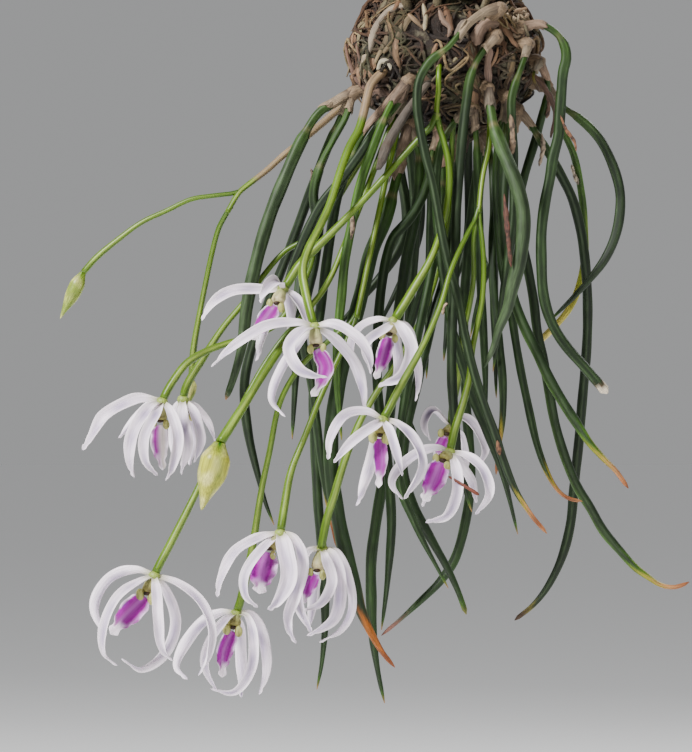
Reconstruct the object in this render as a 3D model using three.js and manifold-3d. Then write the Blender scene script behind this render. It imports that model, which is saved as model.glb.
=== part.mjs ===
// Potted leptotes bicolor: a small hanging clay pot, and a pendulous orchid that has grown over its
// rim, with long round leaves and nodding white flowers hanging below the pot.
// Millimetres, +Z up. The origin is where the hook bears on its rail, on the pot's own axis.
import * as THREE from "three";
import { mergeVertices } from "three/addons/utils/BufferGeometryUtils.js";
import Module from "manifold-3d";

const wasm = await Module();
wasm.setup();

// Driving dimensions
const GAP = 0.3; // between pieces that touch
const FOOT_Z = -166; // underside of the pot
const PLANT_TOP = -168; // level from which every drop of the plant is measured

const POT = { height: 54, rimRadius: 38, footRadius: 22, wall: 3.6, bandHeight: 11, bandStep: 2.2,
  floor: 4, drainRadius: 5, sides: 22 };
const WIRE_RADIUS = 1.1;
const WIRE_SIDES = 5;
const HOOK = { radius: 11, shank: 26 };
const LEG_BOW = 3.2; // how far the hanger's legs stand off the rim
const BARK = { level: 7, chips: 11 };
const ROOT_MASS = { centre: [0, 0, -184], radii: [27.5, 25, 24] };

const LEAF_SIDES = 5;
const STEM_SIDES = 4;
const ROOT_SIDES = 4;
const STEP = 2.5; // spacing of the points at which a strand can give way
const CLEARANCE = 1.3; // room left between two strands that pass each other
const RHIZOME_RADIUS = 2.6;
const SHEATH = { radius: 1.75, length: 9 };
const TEPAL_THICKNESS = 0.85;
const RECEPTACLE_RADIUS = 1.9;
const COLUMN_RADIUS = 1.15;
const SLIVER = 1; // cubic millimetres
const TIP_TAPER = { length: 34, radius: 0.34 }; // a leaf's last stretch, and its end's share of the radius
const TEPAL_SPANS = 5; // straight pieces along a tepal, and along a lip
const LIP_SPANS = 6;
const STRAND_SPANS = { least: 3, longest: 22, turn: 0.31, mostByTurn: 9 }; // turn in radians
const FORK_ROOM = 14; // length at a strand's end over which its own stem's others may touch it
const BALL_ROOM = { share: 1.04, stand: 0.8 }; // how far off the root mass a strand passes
const SETTLE = { rounds: 300, push: 0.8, spread: 0.5, easing: 10 };

// Leafy stems. fork: [x, y, drop] of the rhizome piece that carries the leaves. Each leaf has its
// radius, its depth y halfway and at the tip, and its path as [x, drop] after the fork.
const LEAFY_STEMS = [
  { node: "leafy_stem_left_edge", fork: [-28, -4, 27.5], leaves: [
    { radius: 2.0, deep: [-10, -8], path: [[-32, 29.5], [-38, 33.5], [-43, 41.5],
      [-47.5, 51.5], [-52.5, 64], [-56.5, 77.5], [-59.5, 91.5], [-61, 103.5], [-63.5, 113],
      [-66, 120]] },
    { radius: 1.6, deep: [-4, 2], path: [[-29.5, 34], [-33.5, 41.5], [-37.5, 49.5],
      [-39.5, 58.5], [-38, 67.5], [-39.5, 79.5], [-42.5, 93], [-44.5, 108], [-45.5, 123], [-46, 132]] },
    { radius: 1.5, deep: [6, 4], path: [[-32, 36], [-37, 48], [-41.5, 60], [-47, 75],
      [-53, 90], [-58, 103.5], [-60.5, 115.5], [-59.5, 129], [-56.5, 142.5], [-54, 151.5],
      [-51.5, 158]] },
  ] },
  { node: "leafy_stem_left_fan", fork: [-11.5, -23, 25], leaves: [
    { radius: 1.4, deep: [-17, -13], path: [[-14, 31], [-20, 38], [-26, 47], [-32, 55],
      [-37, 61], [-40.5, 67.5], [-43, 73], [-45.5, 79], [-47.5, 85], [-50.5, 92], [-53, 99]] },
    { radius: 1.3, deep: [-10, -8], path: [[-15.5, 33.5], [-22.5, 42.5], [-29.5, 52],
      [-35, 61.5], [-40, 71.5], [-43, 79.5], [-44, 90], [-42.5, 103.5], [-40, 115.5], [-38.5, 127.5],
      [-37, 139.5], [-35, 151.5], [-32.5, 164.5]] },
    { radius: 1.5, deep: [-6, -4], path: [[-18.5, 32.5], [-24.5, 40], [-29, 49.5],
      [-32.5, 60], [-35, 75], [-37, 90], [-39, 105], [-39.5, 120], [-39, 135], [-38, 153], [-36.5, 171],
      [-36, 187.5], [-37, 199.5], [-38.5, 207.5]] },
    { radius: 1.4, deep: [-24, -22], path: [[-16, 31], [-20.5, 41.5], [-25, 54],
      [-28, 67.5], [-30, 78], [-31, 88.5], [-32, 99], [-32.5, 111], [-32, 121.5], [-31, 132]] },
  ] },
  { node: "leafy_stem_front_arch", fork: [16.5, -23, 2.5], leaves: [
    { radius: 1.35, deep: [-36, -24], path: [[12.5, 3.5], [7.5, 7], [3.5, 11.5],
      [0.5, 15], [-2.5, 17], [-5.5, 20], [-8, 25], [-8.5, 32], [-7.5, 39.5], [-6, 47], [-4, 54.5],
      [-2.5, 62.5], [-1, 71], [1, 80], [3.5, 89], [5.5, 99.5], [8, 110], [11, 120], [14.5, 129.5],
      [17.5, 138.5], [21, 147], [25.5, 154], [30.5, 160]] },
  ] },
  { node: "leafy_stem_broad", fork: [-10.5, -10, 37], leaves: [
    { radius: 2.3, deep: [-20, -12], path: [[-12.5, 43.5], [-14.5, 53.5], [-18, 66],
      [-22, 75.5], [-24.5, 86], [-27.5, 97.5], [-30.5, 108.5], [-32.5, 119], [-34, 129.5], [-34, 141],
      [-32.5, 152.5], [-30.5, 162.5], [-28, 172.5], [-25.5, 182.5], [-22.5, 189.5], [-19, 195.5],
      [-15, 200.5]] },
    { radius: 1.7, deep: [-2, 4], path: [[-7.5, 48], [-8.5, 63], [-11.5, 78], [-14, 96],
      [-15.5, 114], [-17, 129], [-18.5, 144], [-20.5, 156.5], [-22, 168.5], [-22, 180.5], [-21.5, 192],
      [-20, 202.5], [-18, 212]] },
  ] },
  { node: "leafy_stem_elbow", fork: [-1.5, -12, 39], leaves: [
    { radius: 1.5, deep: [-10, -6], path: [[-3.5, 45], [-5, 54], [-8, 61.5],
      [-11.5, 66.5], [-15.5, 71], [-17.5, 77], [-19, 85.5], [-20, 96], [-20.5, 109.5], [-19.5, 124.5],
      [-17.5, 136.5], [-16.5, 147], [-16, 157.5], [-16.5, 166.5], [-17.5, 177.5], [-19, 189.5]] },
    { radius: 1.35, deep: [-24, -20], path: [[-0.5, 49.5], [-1, 64.5], [-4, 81],
      [-7.5, 97.5], [-10.5, 111], [-13, 126], [-14, 138], [-13, 147.5], [-10, 155], [-6.5, 162.5],
      [-2.5, 170], [1, 176.5]] },
  ] },
  { node: "leafy_stem_middle", fork: [5, -4, 41], leaves: [
    { radius: 1.5, deep: [-16, -14], path: [[4.5, 48], [3, 64.5], [0.5, 81], [-4, 97.5],
      [-8, 114], [-11.5, 129], [-12.5, 141], [-9.5, 151.5], [-4, 162], [0.5, 170], [4, 177.5],
      [6.5, 184.5]] },
    { radius: 1.2, deep: [4, 6], path: [[2, 49.5], [-1.5, 67.5], [-6.5, 85.5],
      [-11, 100.5], [-13, 111.5], [-12.5, 120], [-10, 127], [-7, 133]] },
  ] },
  { node: "leafy_stem_inner", fork: [8.5, -19, 32.5], leaves: [
    { radius: 1.35, deep: [-20, -12], path: [[4, 35.5], [-0.5, 42], [-2.5, 51],
      [-2.5, 63], [-1.5, 75], [0, 86.5], [2, 98], [5, 109], [8.5, 120], [13.5, 131.5], [17.5, 142.5],
      [20, 152], [22, 160.5]] },
    { radius: 1.35, deep: [-8, -2], path: [[9.5, 42], [10, 55.5], [10.5, 70.5], [11, 87],
      [12, 103.5], [12.5, 118.5], [12, 130]] },
  ] },
  { node: "leafy_stem_long_tip", fork: [11.5, 4, 39], leaves: [
    { radius: 1.5, deep: [6, 4], path: [[10.5, 48], [8.5, 63], [7, 79.5], [6, 96],
      [6.5, 111], [7, 124.5], [8, 136.5], [8, 147], [6.5, 157.5], [3.5, 168], [-1, 175], [-6, 180],
      [-12, 185.5], [-19, 191.5]] },
    { radius: 1.3, deep: [-14, -10], path: [[14, 45], [15, 60], [14.5, 75], [15, 90],
      [16.5, 103.5], [17.5, 114.5], [17.5, 124.5], [16.5, 133.5], [15.5, 142.5]] },
  ] },
  { node: "leafy_stem_grey", fork: [13, -22, 27], leaves: [
    { radius: 2.2, deep: [-34, -28], path: [[13.5, 32], [14.5, 38], [16.5, 44], [19, 50],
      [21.5, 57], [23, 63.5], [23, 70], [22, 78], [20, 85.5], [18.5, 92.5], [16, 98.5], [14, 105],
      [11.5, 110.5]] },
  ] },
  { node: "leafy_stem_right_front", fork: [19, -17, 29.5], leaves: [
    { radius: 1.6, deep: [-22, -20], path: [[18.5, 39], [18, 51], [17.5, 64.5],
      [18.5, 77.5], [20, 87.5], [22, 93.5], [24.5, 99.5], [27.5, 105.5], [31, 113], [35, 120],
      [39.5, 127], [43.5, 133], [47.5, 137.5], [51.5, 141.5], [55, 146.5]] },
    { radius: 1.25, deep: [-10, -12], path: [[16.5, 39], [15.5, 52.5], [16, 67.5],
      [17.5, 81], [20, 93.5], [21.5, 103], [23, 111.5], [25, 121], [26.5, 128], [28, 134], [30.5, 141],
      [33.5, 146.5], [37, 149.5], [41.5, 150.5]] },
  ] },
  { node: "leafy_stem_right_long", fork: [22.5, -6, 33], leaves: [
    { radius: 1.45, deep: [-6, -4], path: [[20.5, 42], [21, 54], [22, 63.5],
      [23.5, 72.5], [25.5, 82], [27, 90.5], [28, 99], [30, 108.5], [31.5, 117], [33.5, 127.5],
      [36.5, 137.5], [40, 146], [44, 152.5], [48, 159.5], [53, 165.5], [57.5, 170.5], [61.5, 173.5],
      [65.5, 176], [70, 176.5], [74, 175]] },
    { radius: 1.5, deep: [6, 8], path: [[25, 35.5], [29, 41.5], [32.5, 47], [35.5, 52.5],
      [38.5, 58.5], [40.5, 65], [42, 72.5], [43, 81], [43.5, 90], [43.5, 99], [43, 108.5], [42, 120],
      [41, 132.5], [39.5, 147], [38.5, 157.5], [36, 167.5], [32, 176], [27.5, 182], [21.5, 187]] },
  ] },
  { node: "leafy_stem_hooked", fork: [23.5, -16, 8], leaves: [
    { radius: 1.6, deep: [-18, -14], path: [[28, 7], [32.5, 9], [35.5, 12.5], [36.5, 17],
      [35.5, 21.5], [35, 27.5], [34.5, 35], [34, 41], [32.5, 47], [31.5, 53.5], [30, 61], [29, 69.5],
      [29, 78.5], [29.5, 87.5], [31, 94], [33.5, 99.5], [37, 104.5], [41, 109], [44.5, 113],
      [49, 118]] },
  ] },
  { node: "leafy_stem_right_loop", fork: [31, -1, 25], leaves: [
    { radius: 1.5, deep: [-4, -6], path: [[35.5, 31], [41, 35], [46.5, 40.5], [50.5, 48],
      [53, 56.5], [53, 64], [51.5, 71], [48.5, 77.5], [44, 83.5], [39, 89], [34.5, 93.5],
      [31.5, 96.5]] },
    { radius: 1.1, deep: [16, 12], path: [[35, 36], [39.5, 45.5], [42, 57], [43, 67.5],
      [43, 77.5], [41, 86.5], [38.5, 92], [35, 96.5], [31.5, 100], [29, 102.5]] },
  ] },
  { node: "leafy_stem_behind_grey", fork: [28.5, -10, 18], leaves: [
    { radius: 1.35, deep: [0, 4], path: [[31, 23.5], [31, 29], [29.5, 34.5], [27.5, 42],
      [25, 50], [23, 57.5], [21, 65], [18.5, 72], [15.5, 77.5], [12.5, 83], [10, 91.5], [8, 101]] },
    { radius: 1.2, deep: [-20, -14], path: [[26.5, 23], [28.5, 27.5]] },
  ] },
  { node: "leafy_stem_sheathed", fork: [25, -17, 13], leaves: [
    { radius: 1.35, deep: [-22, -12], path: [[23.5, 18.5], [21.5, 24], [20, 29.5],
      [20, 36.5], [20.5, 45], [20.5, 54], [20.5, 64.5], [19, 76.5], [17.5, 88.5], [16, 100.5],
      [14.5, 111.5]] },
  ] },
  { node: "leafy_stem_upper", fork: [15.5, -23, 11], leaves: [
    { radius: 1.5, deep: [-30, -22], path: [[12.5, 14], [9.5, 18.5], [7.5, 23.5],
      [6.5, 29.5], [5.5, 37.5], [4.5, 48], [3.5, 60], [3, 73.5], [2.5, 87], [2, 100.5], [2, 114],
      [3, 127.5], [4.5, 139.5], [6, 147], [8, 153.5]] },
  ] },
];

// Flower stems. The first strand of a stem starts in the root mass and the others fork from it.
// deep is y at the start and the end.
const FLOWER_STEMS = [
  { node: "flower_stem_a", strands: [
    { radius: [0.8, 0.8], deep: [-22, -28], path: [[-1.5, 17.5], [-2, 22.5], [-2, 27], [-2.5, 32],
      [-2.5, 36.5]] },
    { radius: [1.1, 1.3], deep: [-28, -34], ends: "f1", path: [[-2.5, 36.5], [-7.5, 41.5], [-13, 47.5],
      [-21, 56.5], [-30, 66], [-38, 74], [-43.5, 79.5], [-47, 85]] },
    { radius: [1.1, 1.3], deep: [-28, -34], ends: "f3", path: [[-2.5, 36.5], [-0.5, 42.5], [1, 49.5],
      [1, 57], [-0.5, 66.5], [-4, 77], [-10, 87.5], [-14.5, 95]] },
  ] },
  { node: "flower_stem_b", strands: [
    { radius: [0.9, 0.8], deep: [-16, -28], path: [[13.5, 30], [13.5, 38.5], [13, 45], [11.5, 51.5],
      [10.5, 58.5], [10, 64]] },
    { radius: [0.8, 1.2], deep: [-28, -56], ends: "f4", path: [[10, 64], [5, 73.5], [1.5, 81.5],
      [-1.5, 91.5], [-5.5, 101], [-10, 109.5], [-14.5, 117.5], [-18, 124.5]] },
    { radius: [0.8, 1.2], deep: [-28, -36], ends: "f5", path: [[10, 64], [11, 72], [11.5, 80.5],
      [11, 90], [9.5, 97.5], [8, 105], [7, 114], [5, 121.5], [2.5, 129.5], [1.5, 134.5]] },
    { radius: [0.8, 1.1], deep: [-28, -10], ends: "f11", path: [[10, 64], [8.5, 72], [8.5, 84],
      [7, 93.5], [5, 102], [4, 114], [2.5, 121.5], [2, 127]] },
  ] },
  { node: "flower_stem_c", strands: [
    { radius: [1.3, 0.8], deep: [8, -8], path: [[-23, 25], [-29, 29.5], [-36, 35.5], [-43.5, 42],
      [-48.5, 46], [-54, 51], [-58.5, 54.5], [-62, 57.5], [-65.5, 63.5]] },
    { radius: [0.6, 0.7], deep: [-6.5, -6], ends: "bud1", path: [[-62, 57.5], [-70.5, 58.5],
      [-76.5, 59.5], [-84, 63], [-91.5, 66.5], [-99, 72], [-105, 77], [-109, 81.5]] },
    { radius: [0.8, 0.9], deep: [-8, 6], ends: "ov", path: [[-65.5, 63.5], [-68, 68], [-70, 75],
      [-72.5, 86.5], [-74.5, 96.5], [-76, 105.5], [-76.5, 113.5]] },
  ] },
  { node: "flower_stem_d", strands: [
    { radius: [1.6, 1.2], deep: [-16, -58], ends: "f2", path: [[-17.5, 20.5], [-22, 25], [-23.5, 30],
      [-24.5, 34.5], [-26, 39.5], [-28.5, 44], [-31, 50.5], [-33, 57], [-35, 63], [-38, 69.5], [-41, 75.5],
      [-42.5, 81.5], [-41.5, 88.5], [-39.5, 96.5]] },
  ] },
  { node: "flower_stem_e", strands: [
    { radius: [0.9, 0.9], deep: [-12, -7.5], path: [[-13, 26.5], [-16.5, 31], [-21, 40.5], [-28, 52.5],
      [-34.5, 63], [-39.5, 70]] },
    { radius: [0.9, 1.2], deep: [-7.5, -6], ends: "f6b", path: [[-39.5, 70], [-43.5, 72.5],
      [-48.5, 75.5], [-55, 83], [-60, 90], [-67, 98.5], [-73.5, 108.5], [-77.5, 115], [-79, 119]] },
    { radius: [0.9, 1.2], deep: [-7.5, -22], ends: "f6a", path: [[-39.5, 70], [-40, 78.5],
      [-44.5, 88.5], [-51, 97.5], [-58.5, 101], [-65.5, 103], [-72, 105.5], [-77.5, 109], [-82, 115],
      [-84.5, 119.5]] },
  ] },
  { node: "flower_stem_f", strands: [
    { radius: [0.9, 0.9], deep: [-4, -30], path: [[-14, 31], [-18, 42], [-23, 55.5], [-29, 70.5],
      [-35.5, 85.5], [-43.5, 96]] },
    { radius: [1.3, 1.4], deep: [-30, -50], ends: "bud2", path: [[-43.5, 96], [-46.5, 100.5],
      [-52.5, 109.5], [-60, 121.5], [-67, 132.5]] },
    { radius: [0.9, 1.2], deep: [-30, -44], ends: "f7", path: [[-43.5, 96], [-48.5, 101.5], [-55, 111],
      [-61.5, 123], [-66, 132], [-70.5, 139.5], [-74.5, 148], [-80.5, 160], [-86, 170.5]] },
  ] },
  { node: "flower_stem_g", strands: [
    { radius: [0.9, 0.9], deep: [-2, -30], path: [[-11.5, 30], [-13.5, 36.5], [-16.5, 48], [-20, 64.5],
      [-23.5, 81], [-26.5, 95.5]] },
    { radius: [0.9, 1.2], deep: [-30, -46], ends: "f9", path: [[-26.5, 95.5], [-31, 105.5], [-35, 114],
      [-38.5, 122], [-42, 131], [-46, 141], [-48, 151.5], [-49, 158.5]] },
    { radius: [0.9, 1.2], deep: [-30, -20], ends: "f8", path: [[-26.5, 95.5], [-34.5, 102],
      [-42, 108.5], [-47, 115.5], [-50, 122.5], [-52.5, 135], [-55, 147], [-58, 165.5], [-62, 183]] },
  ] },
  { node: "flower_stem_h", strands: [
    { radius: [0.9, 1.2], deep: [-8, -24], ends: "f10", path: [[3, 31], [2, 48], [1, 64.5],
      [-2.5, 82.5], [-8, 97.5], [-14.5, 109], [-21, 118.5], [-26, 127.5], [-30, 138], [-33.5, 149.5],
      [-35.5, 156], [-37, 163.5]] },
  ] },
];

// Blooms. heart: [x, y, drop] of the receptacle. Tepals and lip: [x, y, z] from the heart.
const BLOOMS = [
  { name: "f1", heart: [-48.6, -34, 87], tepals: [
    { width: 3.4, path: [[-6.3, -2, -0.3], [-14.4, -4, -0.6], [-20.4, -5, -3.9], [-24, -4, -9.3]] },
    { width: 3.8, path: [[-1.8, -6, 2.1], [-4.8, -12, 0], [-6.3, -14, -4.2]] },
    { width: 3.4, path: [[2.7, 0, -2.1], [5.7, 0, -6.9], [7.8, -1, -12.9]] },
    { width: 3.2, path: [[-1.2, 5, -3.6], [-5.1, 9, -11.4], [-8.1, 5, -21.3]] },
    { width: 3.4, path: [[1.5, 6, -3], [2.7, 11, -10.8], [0.6, 8, -18.6]] },
  ], lip: { width: 5.4, path: [[-2.1, -4, -5.1], [-5.1, -6, -9.3], [-9, -5, -15]] } },
  { name: "f2", heart: [-39, -58, 98.4], tepals: [
    { width: 3.4, path: [[-5.1, -2, 0.9], [-14.1, -5, -0.3], [-23.1, -6, -5.7], [-30.3, -5, -11.7]] },
    { width: 3.6, path: [[-3.9, -6, -1.8], [-7.2, -10, -6.6], [-3.9, -11, -12.6], [3.9, -9, -14.7]] },
    { width: 3.2, path: [[-3.9, 5, -4.5], [-9.6, 9, -12.9], [-12.3, 8, -21], [-8.7, 4, -26.4]] },
    { width: 3.6, path: [[5.1, -2, 0.3], [11.1, -4, -2.7], [15.3, -5, -7.8], [16.5, -4, -13.8]] },
    { width: 4.0, path: [[5.1, 4, -3.6], [10.8, 7, -10.2], [13.8, 7, -18], [14.7, 4, -24.9]] },
  ], lip: { width: 5.0, path: [[0.6, -3, -6.6], [3.3, -4, -12], [1.2, -5, -17.4], [-0.9, -4, -20.4]] } },
  { name: "f3", heart: [-15.6, -34, 96.6], tepals: [
    { width: 3.0, path: [[-4.5, -1, 0.3], [-9.9, -2, -2.4], [-12.3, -3, -9], [-9, -2, -17.1]] },
    { width: 2.8, path: [[-2.4, -5, -2.4], [-8.1, -10, -6.9], [-7.2, -9, -14.4]] },
    { width: 4.0, path: [[2.4, -5, -2.4], [5.1, -8, -9], [2.7, -9, -15.6], [-4.5, -7, -19.5]] },
    { width: 3.0, path: [[3.6, 3, -1.5], [6, 5, -9], [7.2, 5, -16.8], [6.6, 3, -23.7]] },
    { width: 3.2, path: [[0.3, 6, -3.9], [1.5, 10, -11.4], [0.6, 8, -18.6]] },
  ], lip: { width: 4.8, path: [[-1.5, -3, -4.8], [-3, -5, -10.8], [-5.4, -4, -17.1]] } },
  { name: "f4", heart: [-18.9, -56, 126], tepals: [
    { width: 3.4, path: [[-4.8, -1, 2.1], [-10.8, -3, 0.9], [-14.7, -4, -5.1], [-16.2, -3, -11.4]] },
    { width: 3.2, path: [[-2.4, -5, -1.8], [-8.4, -9, -6], [-14.4, -9, -12.3]] },
    { width: 3.8, path: [[4.2, 0, -1.2], [9, 0, -6.3], [11.1, 0, -13.2], [6.3, -1, -23.1]] },
    { width: 2.8, path: [[1.8, -6, -3], [3.6, -10, -8.4], [5.7, -9, -16.2]] },
    { width: 3.8, path: [[-1.5, 5, -5.4], [-3.9, 9, -15], [-7.8, 7, -25.2]] },
  ], lip: { width: 4.4, path: [[-0.9, -3, -5.4], [-0.6, -5, -12.3], [-1.2, -4, -19.8]] } },
  { name: "f5", heart: [1.2, -36, 135.6], tepals: [
    { width: 3.4, path: [[-3.9, -2, 0.9], [-11.1, -5, -1.8], [-16.8, -6, -8.4], [-14.1, -4, -13.8]] },
    { width: 3.6, path: [[4.5, -2, -1.2], [9.6, -4, -5.7], [11.1, -5, -12.3], [7.5, -4, -18.3]] },
    { width: 3.0, path: [[2.7, 5, -3.3], [6.3, 8, -8.7], [8.1, 6, -15]] },
    { width: 3.4, path: [[1.8, -5, -4.8], [2.1, -9, -12], [-0.9, -8, -18.6], [-7.2, -6, -20.7]] },
    { width: 3.2, path: [[-2.4, 5, -3.3], [-5.7, 8, -10.5], [-8.1, 6, -16.2]] },
  ], lip: { width: 6.4, path: [[-2.7, -4, -3], [-4.8, -6, -8.4], [-7.8, -5, -14.4]] } },
  { name: "f6a", heart: [-84.9, -22, 120.6], tepals: [
    { width: 4.2, path: [[-7.2, -1, 0.3], [-16.2, -2, -4.2], [-21, -2, -10.8], [-23.7, -2, -14.4]] },
    { width: 2.6, path: [[-4.2, 6, -1.5], [-8.4, 9, -5.7], [-13.2, 7, -10.8]] },
    { width: 4.0, path: [[-3.6, -5, -2.4], [-7.8, -9, -9.3], [-9, -9, -16.2], [-8.1, -6, -22.5]] },
    { width: 3.2, path: [[-1.5, -7, -3.6], [-4.8, -11, -10.8], [-4.5, -11, -17.4], [-1.2, -8, -21.9]] },
    { width: 3.4, path: [[2.4, -4, -3], [4.8, -8, -10.8], [3.6, -8, -18], [1.2, -5, -23.4]] },
  ], lip: { width: 4.4, path: [[-0.6, 0, -6.9], [-0.6, -1, -13.2], [0.3, -1, -20.4]] } },
  { name: "f6b", heart: [-78.9, -6, 120], tepals: [
    { width: 3.4, path: [[0, -6, -4.8], [1.5, -9, -13.2], [-0.3, -7, -22.5]] },
    { width: 3.6, path: [[2.7, -2, -3.6], [4.8, -3, -12], [3.3, -3, -18.9]] },
    { width: 2.4, path: [[4.2, 3, -3], [7.5, 5, -7.5], [9.6, 4, -12.6]] },
    { width: 3.4, path: [[-1.8, 6, -3.6], [-3, 11, -11.4], [-2.1, 8, -19.2]] },
    { width: 3.4, path: [[2.4, 7, -3.6], [3, 11, -11.4], [1.8, 8, -19.8]] },
  ], lip: { width: 4.0, path: [[0.6, 0, -5.4], [0.3, 1, -10.8], [0, 0, -16.8]] } },
  { name: "f7", heart: [-86.7, -44, 172.2], tepals: [
    { width: 3.8, path: [[-5.4, 1, 1.2], [-13.2, 3, -1.8], [-17.1, 4, -9.6], [-14.4, 3, -18]] },
    { width: 3.2, path: [[-4.2, -4, -1.8], [-10.8, -7, -6.9], [-14.4, -8, -15.6],
      [-14.4, -6, -22.8], [-10.8, -4, -26.4]] },
    { width: 3.2, path: [[0.9, -7, -5.4], [1.5, -11, -13.2], [2.4, -11, -20.4], [6, -9, -24.9]] },
    { width: 3.4, path: [[3.3, 6, -4.8], [6, 10, -14.4], [3, 8, -22.8],
      [-3.9, 4, -27.6], [-9.6, 1, -24.6]] },
    { width: 3.4, path: [[6.6, 0, -2.4], [13.2, 0, -7.8], [16.5, 0, -15.6],
      [15.9, -1, -23.4], [13.2, -2, -29.4]] },
  ], lip: { width: 6.8, path: [[-2.4, -2, -6.3], [-7.5, -3, -11.4], [-12.9, -3, -17.1]] } },
  { name: "f8", heart: [-62.7, -20, 184.2], tepals: [
    { width: 4.0, path: [[-4.2, 3, 0], [-10.8, 8, -4.2], [-15.6, 10, -10.8],
      [-17.7, 9, -16.2], [-14.7, 7, -19.8]] },
    { width: 3.0, path: [[-3, -5, -2.1], [-7.5, -8, -8.7], [-8.7, -8, -15.3], [-5.7, -5, -22.8]] },
    { width: 3.2, path: [[3.3, -2, -0.9], [5.1, -6, -8.7], [4.2, -7, -16.5],
      [-0.3, -6, -22.8], [-7.5, -5, -22.2]] },
    { width: 3.8, path: [[4.2, 3, -0.6], [7.5, 5, -7.8], [8.4, 4, -17.4], [6.9, 3, -24.3]] },
    { width: 3.6, path: [[0.9, 5, -5.4], [1.2, 9, -13.2], [1.5, 8, -19.8], [1.5, 6, -25.2]] },
  ], lip: { width: 5.2, path: [[-0.9, -3, -5.1], [-3.3, -4, -11.4], [-4.2, -3, -18.9]] } },
  { name: "f9", heart: [-49.2, -46, 159.6], tepals: [
    { width: 3.6, path: [[-5.7, -2, -1.5], [-12.9, -4, -5.7], [-17.4, -5, -13.8], [-18.6, -4, -18.6]] },
    { width: 3.2, path: [[-5.1, -5, -4.8], [-9.9, -8, -11.7], [-9.9, -8, -18], [-6.6, -6, -21.6]] },
    { width: 5.0, path: [[1.5, -7, -4.8], [2.7, -10, -12.6], [0.3, -10, -18.3], [-3.6, -8, -22.2]] },
    { width: 4.0, path: [[3.9, -2, -1.8], [6, -3, -9], [3.9, -3, -17.4],
      [1.8, -2, -24.9], [4.8, -1, -32.4]] },
    { width: 3.4, path: [[1.2, 5, -4.2], [2.7, 9, -12], [4.5, 8, -19.8], [6.9, 5, -25.8]] },
  ], lip: { width: 7.2, path: [[-3.9, -2, -5.4], [-5.4, -3, -11.7], [-6.3, -2, -17.7]] } },
  { name: "f10", heart: [-36.9, -22, 164.7], tepals: [
    { width: 3.8, path: [[-3.9, -2, -1.2], [-6.3, -4, -7.5], [-6.3, -5, -16.2], [-3.3, -3, -24.9]] },
    { width: 3.2, path: [[1.5, -6, -3.9], [3, -10, -9.9], [0, -10, -15.6], [-5.7, -8, -18.6]] },
    { width: 4.0, path: [[3.3, -3, -2.1], [5.1, -5, -11.7], [3.3, -5, -20.4], [-4.5, -2, -25.8]] },
    { width: 3.2, path: [[4.5, 1, -1.2], [7.5, 2, -9.3], [8.4, 2, -18],
      [5.1, 1, -24.3], [-0.9, 0, -27.9]] },
    { width: 3.4, path: [[-0.6, 6, -4.2], [-2.1, 10, -11.7], [-3, 9, -18.9], [-3.9, 6, -24.3]] },
  ], lip: { width: 4.2, path: [[-1.8, -3, -7.5], [-3.9, -4, -11.7], [-5.7, -3, -16.2]] } },
  { name: "f11", heart: [2.1, -10, 128.4], tepals: [
    { width: 3.0, path: [[-2.7, -1, 2.4], [-5.7, -2, 4.8], [-7.8, -3, 1.2], [-6.3, -3, -3.9]] },
    { width: 3.4, path: [[3.3, -1, 2.7], [7.5, -2, -1.2], [9.6, -3, -6.6], [7.8, -2, -11.7]] },
    { width: 3.2, path: [[-1.8, 5, -3.6], [-3.9, 9, -10.2], [-2.7, 7, -16.2]] },
    { width: 3.2, path: [[2.4, 6, -3], [3.9, 10, -9.6], [3, 7, -16.8]] },
    { width: 3.0, path: [[1.5, -4, -4.5], [1.2, -7, -10.5], [1.2, -5, -16.5]] },
  ], lip: { width: 4.0, path: [[-1.8, -3, -2.7], [-3.3, -4, -5.7], [-4.5, -3, -9.3]] } },
];

// Buds, as spindles from the end of their stalk to [x, y, drop] at the tip.
const BUDS = {
  bud1: { tip: [-116, -6, 95.5], radius: 2.1 },
  bud2: { tip: [-72.5, -51, 152.5], radius: 4.5 },
  ov: { tip: [-77.5, 7, 122], radius: 1.8 },
};

// Dry stalks and old sheaths of the root mass, as [x, y, drop] from end to end.
const DRY_STALKS = [
  { radius: 0.8, path: [[-18, -12, 27], [-24.5, -8, 26], [-29, -5, 17], [-30, -5, 12.5]] },
  { radius: 0.7, path: [[-17, -14, 26], [-24, -11, 22], [-26.5, -10, 12.5]] },
  { radius: 1.5, path: [[7, -20, 8], [6, -25, 7], [4.5, -28.5, 9], [4, -29, 13]] },
  { radius: 1.6, path: [[-5, -22, 25], [-11, -30, 33], [-16.5, -31, 42], [-20, -31, 51]] },
  { radius: 1.0, path: [[18, -7, 17], [24, -8, 20], [31, -9, 27], [33.5, -9, 34], [32, -9, 41]] },
];

// Young leaves in the pot's mouth: direction in degrees about the axis, and how far they reach.
const POT_STEMS = [
  { node: "leafy_stem_in_pot_left", heading: 190, leaves: [[128, 20], [172, 26], [236, 18]] },
  { node: "leafy_stem_in_pot_right", heading: 10, leaves: [[-62, 18], [2, 26], [58, 20]] },
];
const ROOT_HEADINGS = [12, 60, 118, 160, 235, 268, 302];
const BACK_STEMS = [{ node: "leafy_stem_back", from: -20.5, to: 21, leaves: 8 }];

const COLOUR = {
  clay: ["#b4643f", 0.85, 0], wire: ["#8f9297", 0.35, 1], bark: ["#5a3d28", 0.95, 0],
  roots: ["#8a7358", 0.95, 0], leaf: ["#3d5a3c", 0.5, 0], stem: ["#9bbf4a", 0.5, 0],
  tepal: ["#efe9f0", 0.6, 0], lip: ["#c21fb4", 0.6, 0],
};

const part = new THREE.Group();

function addNode(name, geometry, look) {
  const [color, roughness, metalness] = COLOUR[look];
  const mesh = new THREE.Mesh(geometry, new THREE.MeshStandardMaterial({ color, roughness, metalness }));
  mesh.name = name;
  part.add(mesh);
}

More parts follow.
